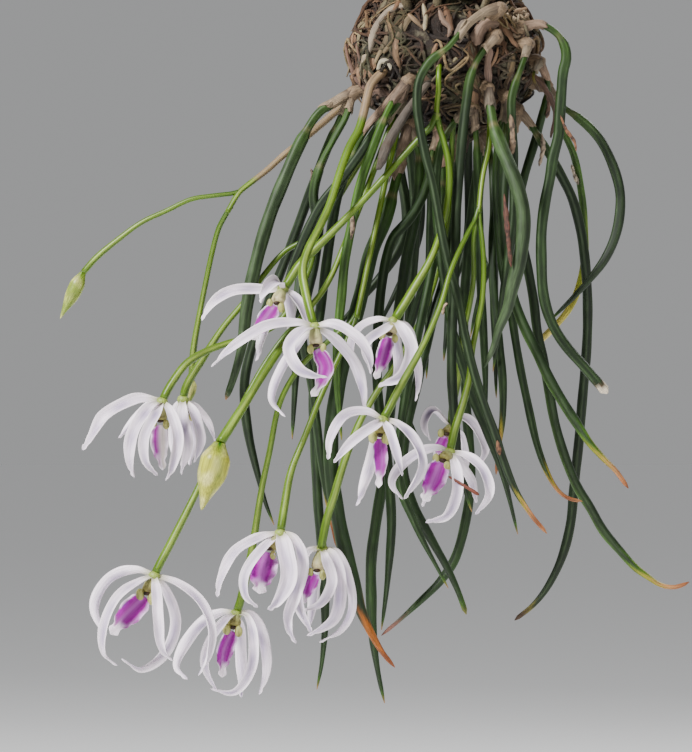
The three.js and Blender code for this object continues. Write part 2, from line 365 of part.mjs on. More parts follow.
// Joining and cutting
function solid(geometry) {
  const bare = geometry.index ? geometry.clone() : geometry;
  bare.deleteAttribute("normal");
  bare.deleteAttribute("uv");
  const merged = mergeVertices(bare, 1e-4);
  return new wasm.Manifold(new wasm.Mesh({
    numProp: 3,
    vertProperties: new Float32Array(merged.attributes.position.array),
    triVerts: new Uint32Array(merged.index.array),
  }));
}

function geometryOf(manifold) {
  const mesh = manifold.getMesh();
  const geometry = new THREE.BufferGeometry();
  geometry.setAttribute("position", new THREE.BufferAttribute(mesh.vertProperties, 3));
  geometry.setIndex(new THREE.BufferAttribute(mesh.triVerts, 1));
  return geometry;
}

function fused(geometries) {
  return geometries.map(solid).reduce((whole, piece) => whole.add(piece));
}

// What is left of a piece after a cut, without loose slivers
function cut(piece, room) {
  return wasm.Manifold.compose(piece.subtract(room).decompose().filter((body) => body.volume() > SLIVER));
}

// A seeded random draw, the same on every run
function randomDraw(seed) {
  let state = seed;
  return () => {
    state = (state * 16807) % 2147483647;
    return state / 2147483647;
  };
}

// Lines through hand-set points
const mix = (a, b, t) => a + (b - a) * t;
const distance = (a, b) => Math.hypot(...a.map((v, k) => v - b[k]));

function smooth(from, to, s) {
  const t = Math.min(1, Math.max(0, (s - from) / (to - from)));
  return t * t * (3 - 2 * t);
}

function evenly(points, count) {
  const reach = [0];
  for (let i = 1; i < points.length; i++) reach.push(reach[i - 1] + distance(points[i], points[i - 1]));
  const even = [];
  let i = 0;
  for (let k = 0; k <= count; k++) {
    const s = (reach.at(-1) * k) / count;
    while (i < points.length - 2 && reach[i + 1] < s) i++;
    const t = (s - reach[i]) / (reach[i + 1] - reach[i]);
    even.push(points[i].map((v, d) => mix(v, points[i + 1][d], t)));
  }
  return even;
}

function lengthOf(points) {
  return points.slice(1).reduce((sum, point, i) => sum + distance(point, points[i]), 0);
}

// Cubic pieces whose slope at each point follows its two neighbours, cut into even steps
function lineThrough(points, step) {
  const last = points.length - 1;
  const reach = [0];
  for (let i = 1; i <= last; i++) reach.push(reach[i - 1] + distance(points[i], points[i - 1]));
  const slope = (i, d) => {
    const a = Math.max(i - 1, 0);
    const b = Math.min(i + 1, last);
    return (points[b][d] - points[a][d]) / (reach[b] - reach[a]);
  };
  const fine = [];
  for (let i = 0; i < last; i++) {
    const span = reach[i + 1] - reach[i];
    for (let k = 0; k < 12; k++) {
      const t = k / 12;
      const rise = t * t * (3 - 2 * t);
      const leave = t * (1 - t) * (1 - t) * span;
      const arrive = t * t * (t - 1) * span;
      fine.push(points[i].map((v, d) =>
        mix(v, points[i + 1][d], rise) + leave * slope(i, d) + arrive * slope(i + 1, d)));
    }
  }
  fine.push(points[last]);
  return evenly(fine, Math.max(2, Math.round(lengthOf(fine) / step)));
}

// Closed skins carried along a line
const vector = ([x, y, z]) => new THREE.Vector3(x, y, z);

function skin(rings, startPoint, endPoint) {
  const count = rings[0].length;
  const points = [...rings.flat(), startPoint, endPoint];
  const index = [];
  for (let i = 0; i < rings.length - 1; i++) {
    for (let k = 0; k < count; k++) {
      const a = i * count + k;
      const b = i * count + ((k + 1) % count);
      // both faces of a blade are split along the same diagonal
      if (k < count / 2) index.push(a, b, a + count, b, b + count, a + count);
      else index.push(a, b, b + count, a, b + count, a + count);
    }
  }
  const start = rings.length * count;
  const top = (rings.length - 1) * count;
  for (let k = 0; k < count; k++) {
    const next = (k + 1) % count;
    index.push(start, next, k);
    index.push(start + 1, top + k, top + next);
  }
  const geometry = new THREE.BufferGeometry();
  const places = points.flatMap((point) => point.toArray());
  geometry.setAttribute("position", new THREE.Float32BufferAttribute(places, 3));
  geometry.setIndex(index);
  return geometry;
}

function tangents(points) {
  return points.map((_, i) => points[Math.min(i + 1, points.length - 1)].clone()
    .sub(points[Math.max(i - 1, 0)]).normalize());
}

// Side directions that turn no more than the line does, starting from `side` at station `first`
function carried(ways, side, first) {
  const sides = [];
  const upright = (from, way) => from.clone().addScaledVector(way, -from.dot(way)).normalize();
  sides[first] = upright(side, ways[first]);
  for (let i = first + 1; i < ways.length; i++) sides[i] = upright(sides[i - 1], ways[i]);
  for (let i = first - 1; i >= 0; i--) sides[i] = upright(sides[i + 1], ways[i]);
  return sides;
}

// A round tube with a radius for each point, its ends closed by low points
function tube(line, radii, sides) {
  const points = line.map(vector);
  const ways = tangents(points);
  const across = carried(ways, Math.abs(ways[0].y) < 0.9 ? new THREE.Vector3(0, 1, 0)
    : new THREE.Vector3(1, 0, 0), 0);
  const rings = points.map((point, i) => {
    const other = new THREE.Vector3().crossVectors(ways[i], across[i]);
    return Array.from({ length: sides }, (_, k) => {
      const angle = (2 * Math.PI * k) / sides;
      return point.clone().addScaledVector(across[i], Math.cos(angle) * radii[i])
        .addScaledVector(other, Math.sin(angle) * radii[i]);
    });
  });
  const cap = 0.5;
  return skin(rings, points[0].clone().addScaledVector(ways[0], -cap * radii[0]),
    points.at(-1).clone().addScaledVector(ways.at(-1), cap * radii.at(-1)));
}

// A blade of even thickness with a width for each point, facing `face` halfway along
function blade(line, widths, thickness, face) {
  const points = line.map(vector);
  const ways = tangents(points);
  const middle = Math.floor(points.length / 2);
  const across = carried(ways, new THREE.Vector3().crossVectors(ways[middle], face), middle);
  const rings = points.map((point, i) => {
    const out = new THREE.Vector3().crossVectors(across[i], ways[i]);
    const corner = (w, h) => point.clone().addScaledVector(across[i], (w * widths[i]) / 2)
      .addScaledVector(out, (h * thickness) / 2);
    return [corner(-1, -1), corner(-1, 1), corner(1, 1), corner(1, -1)];
  });
  return skin(rings, points[0].clone().addScaledVector(ways[0], -0.3),
    points.at(-1).clone().addScaledVector(ways.at(-1), 0.8));
}

// Strands: leaves and stalks whose depth gives way where they would cross another
function strand(node, path, deep, radius, pinned) {
  const flat = lineThrough(path, STEP);
  const length = lengthOf(flat);
  const last = flat.length - 1;
  return { node, length, pinned,
    x: flat.map((p) => p[0]),
    z: flat.map((p) => PLANT_TOP - p[1]),
    y: flat.map((_, i) => deep(i / last)),
    radii: flat.map((_, i) => radius((length * i) / last, length)) };
}

// Depth that runs through y at the start, halfway and at the tip
const bowed = (y0, y1, y2) => (t) =>
  2 * y0 * (t - 0.5) * (t - 1) - 4 * y1 * t * (t - 1) + 2 * y2 * t * (t - 0.5);

function leafRadius(radius) {
  return (s, length) => {
    if (s < SHEATH.length) return SHEATH.radius;
    const grown = mix(0.62, 1, smooth(SHEATH.length, 3 * SHEATH.length, s));
    return radius * grown * mix(1, TIP_TAPER.radius, smooth(length - TIP_TAPER.length, length, s));
  };
}

// How far from the middle plane a strand has to stay where it lies over the root mass
function ballLimit(x, z, radius) {
  const [centre, reach] = [ROOT_MASS.centre, ROOT_MASS.radii];
  const left = 1 - (x / reach[0]) ** 2 - ((z - centre[2]) / reach[2]) ** 2;
  return left > 0.02 ? BALL_ROOM.share * reach[1] * Math.sqrt(left) + radius + BALL_ROOM.stand : -Infinity;
}

// Every pair of points that lie closer in the flat view than their radii and the clearance allow is
// pushed apart in depth, each strand on its own side of the other, while the push spreads along it.
function settle(strands, obstacles) {
  const spots = [];
  [...strands, ...obstacles].forEach((piece, owner) => piece.x.forEach((x, i) => spots.push({
    owner, i, x, y: piece.y[i], z: piece.z[i], r: piece.radii[i], node: piece.node,
    end: Math.min(i, piece.x.length - 1 - i) * STEP,
    fixed: owner >= strands.length || (i === 0 && piece.pinned[0])
      || (i === piece.x.length - 1 && piece.pinned[1]),
    limit: ballLimit(piece.x[i], piece.z[i], piece.radii[i]),
    front: piece.y[0] < 0,
  })));
  const count = spots.length;
  const pairs = [];
  const sides = new Map();
  for (let a = 0; a < count; a++) {
    for (let b = a + 1; b < count; b++) {
      const [p, q] = [spots[a], spots[b]];
      if (p.owner === q.owner || (p.fixed && q.fixed)) continue;
      if (p.node === q.node && Math.min(p.end, q.end) < FORK_ROOM) continue;
      const reach = p.r + q.r + CLEARANCE;
      const apart = (p.x - q.x) ** 2 + (p.z - q.z) ** 2;
      if (apart >= reach * reach) continue;
      const key = p.owner * 1000 + q.owner;
      sides.set(key, (sides.get(key) ?? 0) + p.y - q.y);
      pairs.push({ a, b, key, need: Math.sqrt(reach * reach - apart) });
    }
  }
  const start = spots.map((spot) => spot.y);
  const depth = start.slice();
  for (let round = 0; round < SETTLE.rounds; round++) {
    const push = new Float64Array(count);
    const hits = new Float64Array(count);
    for (const { a, b, key, need } of pairs) {
      const side = sides.get(key) < 0 ? -1 : 1;
      const short = need - side * (depth[a] - depth[b]);
      if (short <= 0) continue;
      const share = spots[a].fixed || spots[b].fixed ? short : short / 2;
      push[a] += side * share;
      push[b] -= side * share;
      hits[a] += 1;
      hits[b] += 1;
    }
    const spread = SETTLE.spread * (1 - round / SETTLE.rounds);
    const moved = depth.map((y, k) => (spots[k].fixed ? 0
      : y - start[k] + (SETTLE.push * push[k]) / Math.max(1, hits[k])));
    for (let k = 0; k < count; k++) {
      if (spots[k].fixed) continue;
      const before = k > 0 && spots[k - 1].owner === spots[k].owner ? moved[k - 1] : moved[k];
      const after = k < count - 1 && spots[k + 1].owner === spots[k].owner ? moved[k + 1] : moved[k];
      const spot = spots[k];
      const eased = smooth(0, SETTLE.easing, spot.end + STEP) * mix(moved[k], (before + after) / 2, spread);
      depth[k] = spot.front ? Math.min(start[k] + eased, -spot.limit)
        : Math.max(start[k] + eased, spot.limit);
    }
  }
  let k = 0;
  for (const piece of strands) {
    piece.points = piece.x.map((x, i) => [x, depth[k + i], piece.z[i]]);
    k += piece.x.length;
  }
}

const leafStrands = LEAFY_STEMS.map(({ node, fork, leaves }) => leaves.map((leaf) => strand(
  node, [[fork[0], fork[2]], ...leaf.path], bowed(fork[1], ...leaf.deep), leafRadius(leaf.radius),
  [true, false])));

const stalkStrands = FLOWER_STEMS.map(({ node, strands }) => strands.map(({ radius, deep, path }) => strand(
  node, path, (t) => mix(...deep, t), (s, length) => mix(...radius, s / length), [true, true])));

// The root mass: a lumpy ball of dead roots and sheaths
const ball = { centre: vector(ROOT_MASS.centre), radii: vector(ROOT_MASS.radii) };

function ballGeometry(grown, detail) {
  const geometry = new THREE.IcosahedronGeometry(1, detail);
  const position = geometry.attributes.position;
  for (let i = 0; i < position.count; i++) {
    const way = new THREE.Vector3().fromBufferAttribute(position, i);
    const lumps = 1 + 0.035 * Math.sin(7 * way.x + 3 * way.z) * Math.sin(6 * way.y - 4 * way.x)
      + 0.025 * Math.sin(13 * way.z + 5 * way.y);
    way.multiplyScalar(lumps).multiply(ball.radii).add(ball.centre);
    const out = way.clone().sub(ball.centre).normalize();
    position.setXYZ(i, ...way.addScaledVector(out, grown).toArray());
  }
  return geometry;
}

// A point on the ball's front (-1) or back (1), standing off it
function onBall(x, drop, side, stand) {
  const z = PLANT_TOP - drop;
  const left = 1 - (x / ball.radii.x) ** 2 - ((z - ball.centre.z) / ball.radii.z) ** 2;
  return [x, side * (ball.radii.y * Math.sqrt(Math.max(left, 0)) + stand), z];
}

// Younger leaves behind, drawn by a seeded rule along a rhizome on the back of the root mass
const draw = randomDraw(41);
const backLeaf = ({ node, from, to, leaves }, k) => {
  const x = mix(from, to, (k + 0.5) / leaves);
  const [, y] = onBall(x, 24, 1, 1.5);
  const reach = 1.1 * x + 16 * (draw() - 0.5) - 6;
  const drop = mix(84, 124, draw());
  const belly = 0.8 * x + 5 * (draw() - 0.5);
  return strand(node, [[x, 24], [mix(x, belly, 0.6), 44], [belly, 70], [reach, drop]],
    bowed(y, y + 6 + 12 * draw(), y + 10 * draw()), leafRadius(1.3 + 0.3 * draw()), [true, false]);
};
const backStrands = BACK_STEMS.map((stem) =>
  Array.from({ length: stem.leaves }, (_, k) => backLeaf(stem, k)));

// Blooms: the lines of their tepals and lips, and how wide each is along the way
const heartOf = ({ heart: [x, y, drop] }) => [x, y, PLANT_TOP - drop];
const fromHeart = (bloom, point) => heartOf(bloom).map((v, k) => v + point[k]);

function tepalLine(bloom, { path }) {
  return lineThrough([heartOf(bloom), ...path.map((point) => fromHeart(bloom, point))], 1);
}

function lipLine(bloom) {
  return lineThrough(bloom.lip.path.map((point) => fromHeart(bloom, point)), 1);
}

const tepalWidth = (width) => (t) =>
  width * mix(0.5, 1, smooth(0, 0.35, t)) * mix(1, 0.22, smooth(0.5, 1, t));

// Share of a lip's width along it: a trowel that narrows to its curled tip
const lipOutline = [[0, 0.55], [0.18, 0.95], [0.42, 1], [0.68, 0.74], [0.85, 0.42], [1, 0.32]];

function lipWidth(width) {
  return (t) => {
    const next = Math.max(1, lipOutline.findIndex(([at]) => at >= t));
    const [from, to] = [lipOutline[next - 1], lipOutline[next]];
    return width * mix(from[1], to[1], smooth(from[0], to[0], t));
  };
}

function obstacle(node, points, radius) {
  return { node, x: points.map((p) => p[0]), y: points.map((p) => p[1]), z: points.map((p) => p[2]),
    radii: points.map(() => radius) };
}

const stalkOf = (name) =>
  FLOWER_STEMS.find(({ strands }) => strands.some(({ ends }) => ends === name)).node;
const obstacles = BLOOMS.flatMap((bloom) => {
  const node = stalkOf(bloom.name);
  return [
    ...bloom.tepals.map((tepal) => obstacle(node, evenly(tepalLine(bloom, tepal), 12), 1.9)),
    obstacle(node, evenly(lipLine(bloom), 6), bloom.lip.width / 2 - 0.4),
  ];
});

function budLine(name) {
  const { strands } = FLOWER_STEMS.find(({ node }) => node === stalkOf(name));
  const stalk = strands.find(({ ends }) => ends === name);
  const [x, drop] = stalk.path.at(-1);
  const [tipX, tipY, tipDrop] = BUDS[name].tip;
  return evenly([[x, stalk.deep[1], PLANT_TOP - drop], [tipX, tipY, PLANT_TOP - tipDrop]], 8);
}
for (const [name, { radius }] of Object.entries(BUDS)) {
  obstacles.push(obstacle(stalkOf(name), budLine(name), radius));
}
const dryStalks = DRY_STALKS.map(({ radius, path }) => ({ radius,
  line: evenly(lineThrough(path.map(([x, y, drop]) => [x, y, PLANT_TOP - drop]), 2), 4) }));
for (const { radius, line } of dryStalks) obstacles.push(obstacle("root_mass", evenly(line, 10), radius));

settle([...leafStrands, ...stalkStrands, ...backStrands].flat(), obstacles);
for (const [first, ...branches] of stalkStrands) {
  first.forks = branches.map((branch) => {
    const far = first.points.map((p) => distance(p, branch.points[0]));
    const nearest = Math.min(far.indexOf(Math.min(...far)), first.points.length - 2);
    branch.points[0] = first.points[nearest];
    return lengthOf(first.points.slice(0, nearest + 1));
  });
}

// Pot, of fired clay: flared wall, thick rim band, floor with a drain hole
const rimZ = FOOT_Z + POT.height;
const bandZ = rimZ - POT.bandHeight;
const neckRadius = POT.rimRadius - POT.bandStep;
const floorZ = FOOT_Z + POT.floor;
const wallRadius = (z) => mix(POT.footRadius, neckRadius, (z - FOOT_Z) / (bandZ - FOOT_Z));

function lathe(profile, sides) {
  const outline = profile.map(([r, z]) => new THREE.Vector2(r, z));
  return new THREE.LatheGeometry(outline, sides).rotateX(Math.PI / 2);
}

const mouthRadius = POT.rimRadius - POT.wall;
const floorRadius = wallRadius(floorZ) - POT.wall;
addNode("pot", lathe([
  [POT.drainRadius, FOOT_Z], [POT.footRadius, FOOT_Z], [neckRadius, bandZ - 1], [POT.rimRadius, bandZ],
  [POT.rimRadius, rimZ - 1.2], [POT.rimRadius - 1.2, rimZ], [mouthRadius + 0.8, rimZ],
  [mouthRadius, rimZ - 1.2], [mouthRadius - 0.8, bandZ], [floorRadius, floorZ], [POT.drainRadius, floorZ],
  [POT.drainRadius, FOOT_Z],
], POT.sides), "clay");

// Wire hanger: a ring under the rim band, three legs up to a bead, and the hook
const ringRadius = neckRadius + WIRE_RADIUS + GAP;
const ringZ = bandZ - 1 - WIRE_RADIUS - GAP;
const ring = new THREE.TorusGeometry(ringRadius, WIRE_RADIUS, WIRE_SIDES, 24).translate(0, 0, ringZ);
addNode("hanger_ring", ring, "wire");

function wire(points, steps) {
  const round = new THREE.Shape(Array.from({ length: WIRE_SIDES }, (_, k) =>
    new THREE.Vector2(WIRE_RADIUS, 0).rotateAround(new THREE.Vector2(), (2 * Math.PI * k) / WIRE_SIDES)));
  return new THREE.ExtrudeGeometry(round, { steps, bevelEnabled: false,
    extrudePath: new THREE.CatmullRomCurve3(points.map(vector)) });
}

const beadZ = -HOOK.radius - HOOK.shank;
const bead = { radius: 4.4, height: 5 };
const legRadius = ringRadius + 2 * WIRE_RADIUS + GAP;
const legTop = 2.5;
[90, 210, 330].forEach((heading, k) => {
  const route = [[legRadius, ringZ], [legRadius + 0.6, rimZ - 2], [legRadius - 1 + LEG_BOW, rimZ + 8],
    [legRadius - 8, rimZ + 26], [legTop + 10, beadZ - bead.height - 22], [legTop, beadZ - bead.height - 5],
    [legTop, beadZ - bead.height - GAP]];
  const leg = wire(route.map(([r, z]) => [r, 0, z]), 12).rotateZ(THREE.MathUtils.degToRad(heading));
  addNode(`hanger_leg_${k + 1}`, leg, "wire");
});

const arcZ = WIRE_RADIUS - HOOK.radius;
const arc = Array.from({ length: 9 }, (_, k) => {
  const angle = THREE.MathUtils.degToRad(200 - 27.5 * k);
  return [HOOK.radius * Math.cos(angle), 0, arcZ + HOOK.radius * Math.sin(angle)];
});
const hookLine = [[0, 0, beadZ - 2], [0, 0, beadZ + 8], [-4, 0, arcZ - HOOK.radius + 0.5], ...arc,
  [HOOK.radius + 2.4, 0, arcZ - 8]];
addNode("hanger_hook", geometryOf(fused([
  wire(hookLine, 20),
  lathe([[0, beadZ - bead.height], [bead.radius - 0.8, beadZ - bead.height],
    [bead.radius, beadZ - bead.height / 2], [bead.radius - 1.6, beadZ], [0, beadZ]], 10),
])), "wire");

// Roots that climb from the root mass up the pot's wall, over the ring and the rim, into the bark
const barkZ = rimZ - BARK.level;

function claspingRoot(heading, radius) {
  const off = radius + GAP + 0.35;
  const wall = (z) => [wallRadius(z) + off, z];
  const sway = 0.1 * Math.sin(heading);
  const profile = [[12, FOOT_Z - 9], [wallRadius(FOOT_Z) - 2, FOOT_Z - 5], wall(FOOT_Z + 4),
    wall(FOOT_Z + 20), wall(ringZ - 9), [ringRadius + WIRE_RADIUS + off + 0.5, ringZ - 2],
    [POT.rimRadius + off + 0.5, bandZ + 4], [POT.rimRadius + off + 0.3, rimZ - 2],
    [POT.rimRadius - 0.8, rimZ + off + 0.7], [mouthRadius - 1, rimZ + off - 0.2],
    [mouthRadius - off - 3, rimZ - 3.5], [mouthRadius - 10, barkZ + radius + 0.2]];
  return profile.map(([r, z], i) => {
    const angle = THREE.MathUtils.degToRad(heading) + sway * Math.sin(i);
    return [r * Math.cos(angle), r * Math.sin(angle), z];
  });
}

const claspingRoots = ROOT_HEADINGS.map((heading, k) => {
  const radius = 1.1 + 0.35 * ((k * 5) % 3) / 2;
  return { radius, line: evenly(lineThrough(claspingRoot(heading, radius), 2), 12) };
});

// Roots and sheath ends that lie over the ball's face
const forks = LEAFY_STEMS.map(({ fork }) => [fork[0], PLANT_TOP - fork[2]]);
const surfaceRoots = Array.from({ length: 26 }, (_, k) => {
  const side = k % 3 === 2 ? 1 : -1;
  const x = mix(-20, 19, draw());
  const drop = mix(1, 12, draw());
  const lean = mix(-14, 12, draw());
  const radius = mix(0.8, 1.3, draw());
  const path = [0, 0.35, 0.7, 1].map((t) => {
    const here = Math.max(-22.5, Math.min(22.5, x + lean * t));
    return onBall(here, drop + t * (14 + 8 * draw()), side, 0.6 * radius);
  });
  return { radius, side, line: evenly(lineThrough(path, 2), 4) };
}).filter(({ side, line }) => side > 0 || evenly(line, 24).every(([x, , z]) => forks.every((fork) =>
  distance(fork, [x, z]) > 5))).slice(0, 8);

function evenTube({ radius, line }, grown, sides) {
  return tube(line, line.map((_, i) => (i === line.length - 1 ? 0.6 * radius : radius) + grown), sides);
}

const footClearance = lathe([[0, FOOT_Z - GAP], [POT.footRadius + GAP, FOOT_Z - GAP],
  [wallRadius(FOOT_Z + 20) + GAP, FOOT_Z + 20], [0, FOOT_Z + 20]], POT.sides);
const rootMass = cut(fused([
  ballGeometry(0, 2),
  ...claspingRoots.map((root) => evenTube(root, 0, ROOT_SIDES)),
  ...surfaceRoots.map((root) => evenTube(root, 0, ROOT_SIDES)),
  ...dryStalks.map((stalk) => evenTube(stalk, 0, ROOT_SIDES)),
]), solid(footClearance));
addNode("root_mass", geometryOf(rootMass), "roots");

// What a leaf or stalk must stay clear of where it leaves the root mass
const rootRoom = fused([
  ballGeometry(GAP, 2),
  ...[...surfaceRoots, ...dryStalks].map((root) => evenTube(root, GAP, ROOT_SIDES)),
]);

function along(points, reach, s) {
  let i = 0;
  while (i < points.length - 2 && reach[i + 1] < s) i++;
  const t = (s - reach[i]) / (reach[i + 1] - reach[i]);
  return points[i].map((v, d) => mix(v, points[i + 1][d], t));
}

function turning(points) {
  const ways = tangents(points.map(vector));
  return ways.slice(1).reduce((sum, way, i) => sum + way.angleTo(ways[i]), 0);
}

// A strand as a tube with more stations where it turns, and at its sheath and tip
function strandTube(piece, radius, extra, sides) {
  let points = piece.points;
  for (let pass = 0; pass < 4; pass++) {
    points = points.map((p, i) => (i === 0 || i === points.length - 1 ? p
      : [p[0], (points[i - 1][1] + 2 * p[1] + points[i + 1][1]) / 4, p[2]]));
  }
  const reach = [0];
  for (let i = 1; i < points.length; i++) reach.push(reach[i - 1] + distance(points[i], points[i - 1]));
  const length = reach.at(-1);
  const { least, longest, turn, mostByTurn } = STRAND_SPANS;
  const count = Math.round(Math.max(length / longest, Math.min(mostByTurn, turning(points) / turn), least));
  const stops = Array.from({ length: count + 1 }, (_, k) => (length * k) / count)
    .filter((s, k) => k === 0 || k === count
      || extra.every((stop) => Math.abs(s - (stop < 0 ? length + stop : stop)) > 3));
  const all = [...stops, ...extra.map((stop) => (stop < 0 ? length + stop : stop))].sort((a, b) => a - b);
  return tube(all.map((s) => along(points, reach, s)), all.map((s) => radius(s, length)), sides);
}

const sheathStops = [SHEATH.length - 0.1, SHEATH.length + 1.2, -11];

function rhizomeTube(line, grown) {
  return tube(line, line.map(() => RHIZOME_RADIUS + grown), LEAF_SIDES);
}

function leafyStem(node, strands, radii, rhizome) {
  const leaves = strands.map((piece, k) =>
    strandTube(piece, leafRadius(radii[k]), sheathStops, LEAF_SIDES));
  addNode(node, geometryOf(cut(fused([rhizomeTube(rhizome, 0), ...leaves]), rootRoom)), "leaf");
}

LEAFY_STEMS.forEach(({ node, fork, leaves }, k) => {
  const tip = [fork[0], fork[1], PLANT_TOP - fork[2]];
  const inner = tip.map((v, d) => mix(v, ROOT_MASS.centre[d], 0.35));
  leafyStem(node, leafStrands[k], leaves.map(({ radius }) => radius), [inner, tip]);
});
BACK_STEMS.forEach(({ node, from, to }, k) => {
  const line = Array.from({ length: 9 }, (_, i) => onBall(mix(from, to, i / 8), 24, 1, 1.5));
  leafyStem(node, backStrands[k], backStrands[k].map(({ radii }) => Math.max(...radii.slice(8))), line);
});

// Flower stems with their buds
const budRadius = (radius) => (t) =>
  radius * (0.42 + 0.58 * Math.sin(Math.PI * Math.min(1, 0.12 + t) ** 0.8)) * mix(1, 0.3, smooth(0.6, 1, t));

function shortOf(heart, points, stand) {
  const kept = points.filter((point) => distance(point, heart) > stand + 0.8);
  const way = kept.at(-1).map((v, k) => v - heart[k]);
  const far = Math.hypot(...way);
  return [...kept, heart.map((v, k) => v + (way[k] / far) * stand)];
}

FLOWER_STEMS.forEach(({ node, strands }, k) => {
  const pieces = strands.flatMap(({ radius, ends }, i) => {
    const piece = stalkStrands[k][i];
    const bloom = BLOOMS.find(({ name }) => name === ends);
    const stand = RECEPTACLE_RADIUS + GAP + 0.5 * radius[1];
    if (bloom) piece.points = shortOf(heartOf(bloom), piece.points, stand);
    const forks = [...new Set(piece.forks ?? [])];
    const stalk = strandTube(piece, (s, length) => mix(...radius, s / length), forks, STEM_SIDES);
    if (!BUDS[ends]) return [stalk];
    const line = budLine(ends);
    const radii = line.map((_, j) => budRadius(BUDS[ends].radius)(j / (line.length - 1)));
    return [stalk, tube(line, radii, LEAF_SIDES)];
  });
  addNode(node, geometryOf(cut(fused(pieces), rootRoom)), "stem");
});

// Blooms: receptacle, column and five tepals in one piece, and the lip below the column
function facing([x, y]) {
  const side = y > 1 ? 1 : -1;
  const far = Math.hypot(x, y) || 1;
  return new THREE.Vector3(x / far, y / far + 0.9 * side, 0.1).normalize();
}

function bladeAlong(line, width, count, face) {
  const stations = evenly(line, count);
  return blade(stations, stations.map((_, i) => width(i / count)), TEPAL_THICKNESS, face);
}

BLOOMS.forEach((bloom, k) => {
  const heart = heartOf(bloom);
  const number = String(k + 1).padStart(2, "0");
  const receptacle = new THREE.OctahedronGeometry(1.15 * RECEPTACLE_RADIUS).translate(...heart);
  const lipStart = fromHeart(bloom, bloom.lip.path[0]);
  const columnEnd = shortOf(lipStart, [heart], 1.25).at(-1);
  const column = tube([heart, columnEnd], [COLUMN_RADIUS, COLUMN_RADIUS], STEM_SIDES);
  const tepals = bloom.tepals.map((tepal) => bladeAlong(tepalLine(bloom, tepal).slice(1),
    tepalWidth(tepal.width), TEPAL_SPANS, facing(tepal.path[Math.floor(tepal.path.length / 2)])));
  addNode(`bloom_${number}`, geometryOf(fused([receptacle, column, ...tepals])), "tepal");
  addNode(`lip_${number}`, bladeAlong(lipLine(bloom), lipWidth(bloom.lip.width), LIP_SPANS,
    new THREE.Vector3(0, -1, 0.2)), "lip");
});

// Leafy stems that still stand in the pot: a rhizome on the bark with young leaves over the rim
const potStems = POT_STEMS.map(({ node, heading, leaves }) => {
  const along = THREE.MathUtils.degToRad(heading);
  const rise = RHIZOME_RADIUS + GAP + 2.4;
  const rhizome = [6, 12, 18, 23].map((r, i) =>
    [r * Math.cos(along), r * Math.sin(along) + (i % 2) * 0.8, barkZ + rise]);
  const strands = leaves.map(([angle, reach], i) => {
    const way = THREE.MathUtils.degToRad(angle);
    const foot = rhizome[Math.min(3, i)];
    const top = rimZ + 20 + 3 * (i % 3);
    const over = POT.rimRadius + reach * 0.45;
    const at = (r, z) => [r * Math.cos(way), r * Math.sin(way), z];
    const knee = [foot[0], foot[1], barkZ + 12].map((v, d) => mix(v, at(16, rimZ + 6)[d], 0.3));
    const path = [foot, knee, at(24, top - 4), at(over, top - 3), at(POT.rimRadius + reach, rimZ - 8),
      at(POT.rimRadius + reach + 2, FOOT_Z + 14 + 6 * (i % 2))];
    return { points: lineThrough(path, STEP) };
  });
  return { node, rhizome, strands };
});

// Bark: chips in the pot's mouth over a settled fill
const chips = Array.from({ length: BARK.chips }, () => {
  const size = [mix(5, 9, draw()), mix(4, 6, draw()), mix(2, 3, draw())];
  const r = 25 * Math.sqrt(draw());
  const angle = 2 * Math.PI * draw();
  const chip = new THREE.BoxGeometry(...size).rotateX(mix(-0.5, 0.5, draw()))
    .rotateY(mix(-0.5, 0.5, draw())).rotateZ(Math.PI * draw());
  return chip.translate(r * Math.cos(angle), r * Math.sin(angle), barkZ - 0.3 + 1.2 * draw());
});
const barkTop = mouthRadius - 0.8 - GAP - 0.35;
const fill = lathe([[0, floorZ + GAP], [floorRadius - GAP - 0.2, floorZ + GAP], [barkTop - 1.5, barkZ],
  [0, barkZ + 0.8]], 16);
const barkRoom = fused([
  ...claspingRoots.map((root) => evenTube(root, GAP, ROOT_SIDES)),
  ...potStems.map(({ rhizome }) => rhizomeTube(rhizome, GAP)),
]);
addNode("potting_bark", geometryOf(cut(fused([fill, ...chips]), barkRoom)), "bark");
potStems.forEach(({ node, rhizome, strands }) => {
  const leaves = strands.map((piece) => strandTube(piece, leafRadius(1.5), sheathStops, LEAF_SIDES));
  addNode(node, geometryOf(fused([rhizomeTube(rhizome, 0), ...leaves])), "leaf");
});

export default part;
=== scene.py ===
# Potted leptotes bicolor: the looks of the pot, its hanger and the plant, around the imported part.
# The numbers are millimetres in the part's own frame: +Z up, -Y towards the side with the flowers,
# and the origin where the hook bears. They become metres when a mesh is made.
import math

import bpy
import mathutils
import numpy as np
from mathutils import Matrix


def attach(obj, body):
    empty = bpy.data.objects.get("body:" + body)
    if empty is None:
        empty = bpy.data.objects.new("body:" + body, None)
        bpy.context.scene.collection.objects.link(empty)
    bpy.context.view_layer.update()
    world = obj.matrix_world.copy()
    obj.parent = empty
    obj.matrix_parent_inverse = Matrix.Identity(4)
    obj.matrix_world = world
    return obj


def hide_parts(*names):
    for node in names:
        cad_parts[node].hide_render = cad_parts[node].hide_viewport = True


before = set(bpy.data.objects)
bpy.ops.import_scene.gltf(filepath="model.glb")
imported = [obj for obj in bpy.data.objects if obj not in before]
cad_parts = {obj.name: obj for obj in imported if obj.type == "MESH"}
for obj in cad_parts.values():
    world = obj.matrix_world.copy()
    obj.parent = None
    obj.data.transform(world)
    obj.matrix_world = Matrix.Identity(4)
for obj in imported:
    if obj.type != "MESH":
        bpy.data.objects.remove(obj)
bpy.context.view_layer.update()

# Pot: a small flower pot of unglazed clay, pressed and fired, with a thick rim band and a drain
# hole. Years of watering have left lime bloom on its wall and green algae near its foot.
GAP = 0.3
FOOT_Z = -166
POT_HEIGHT = 54
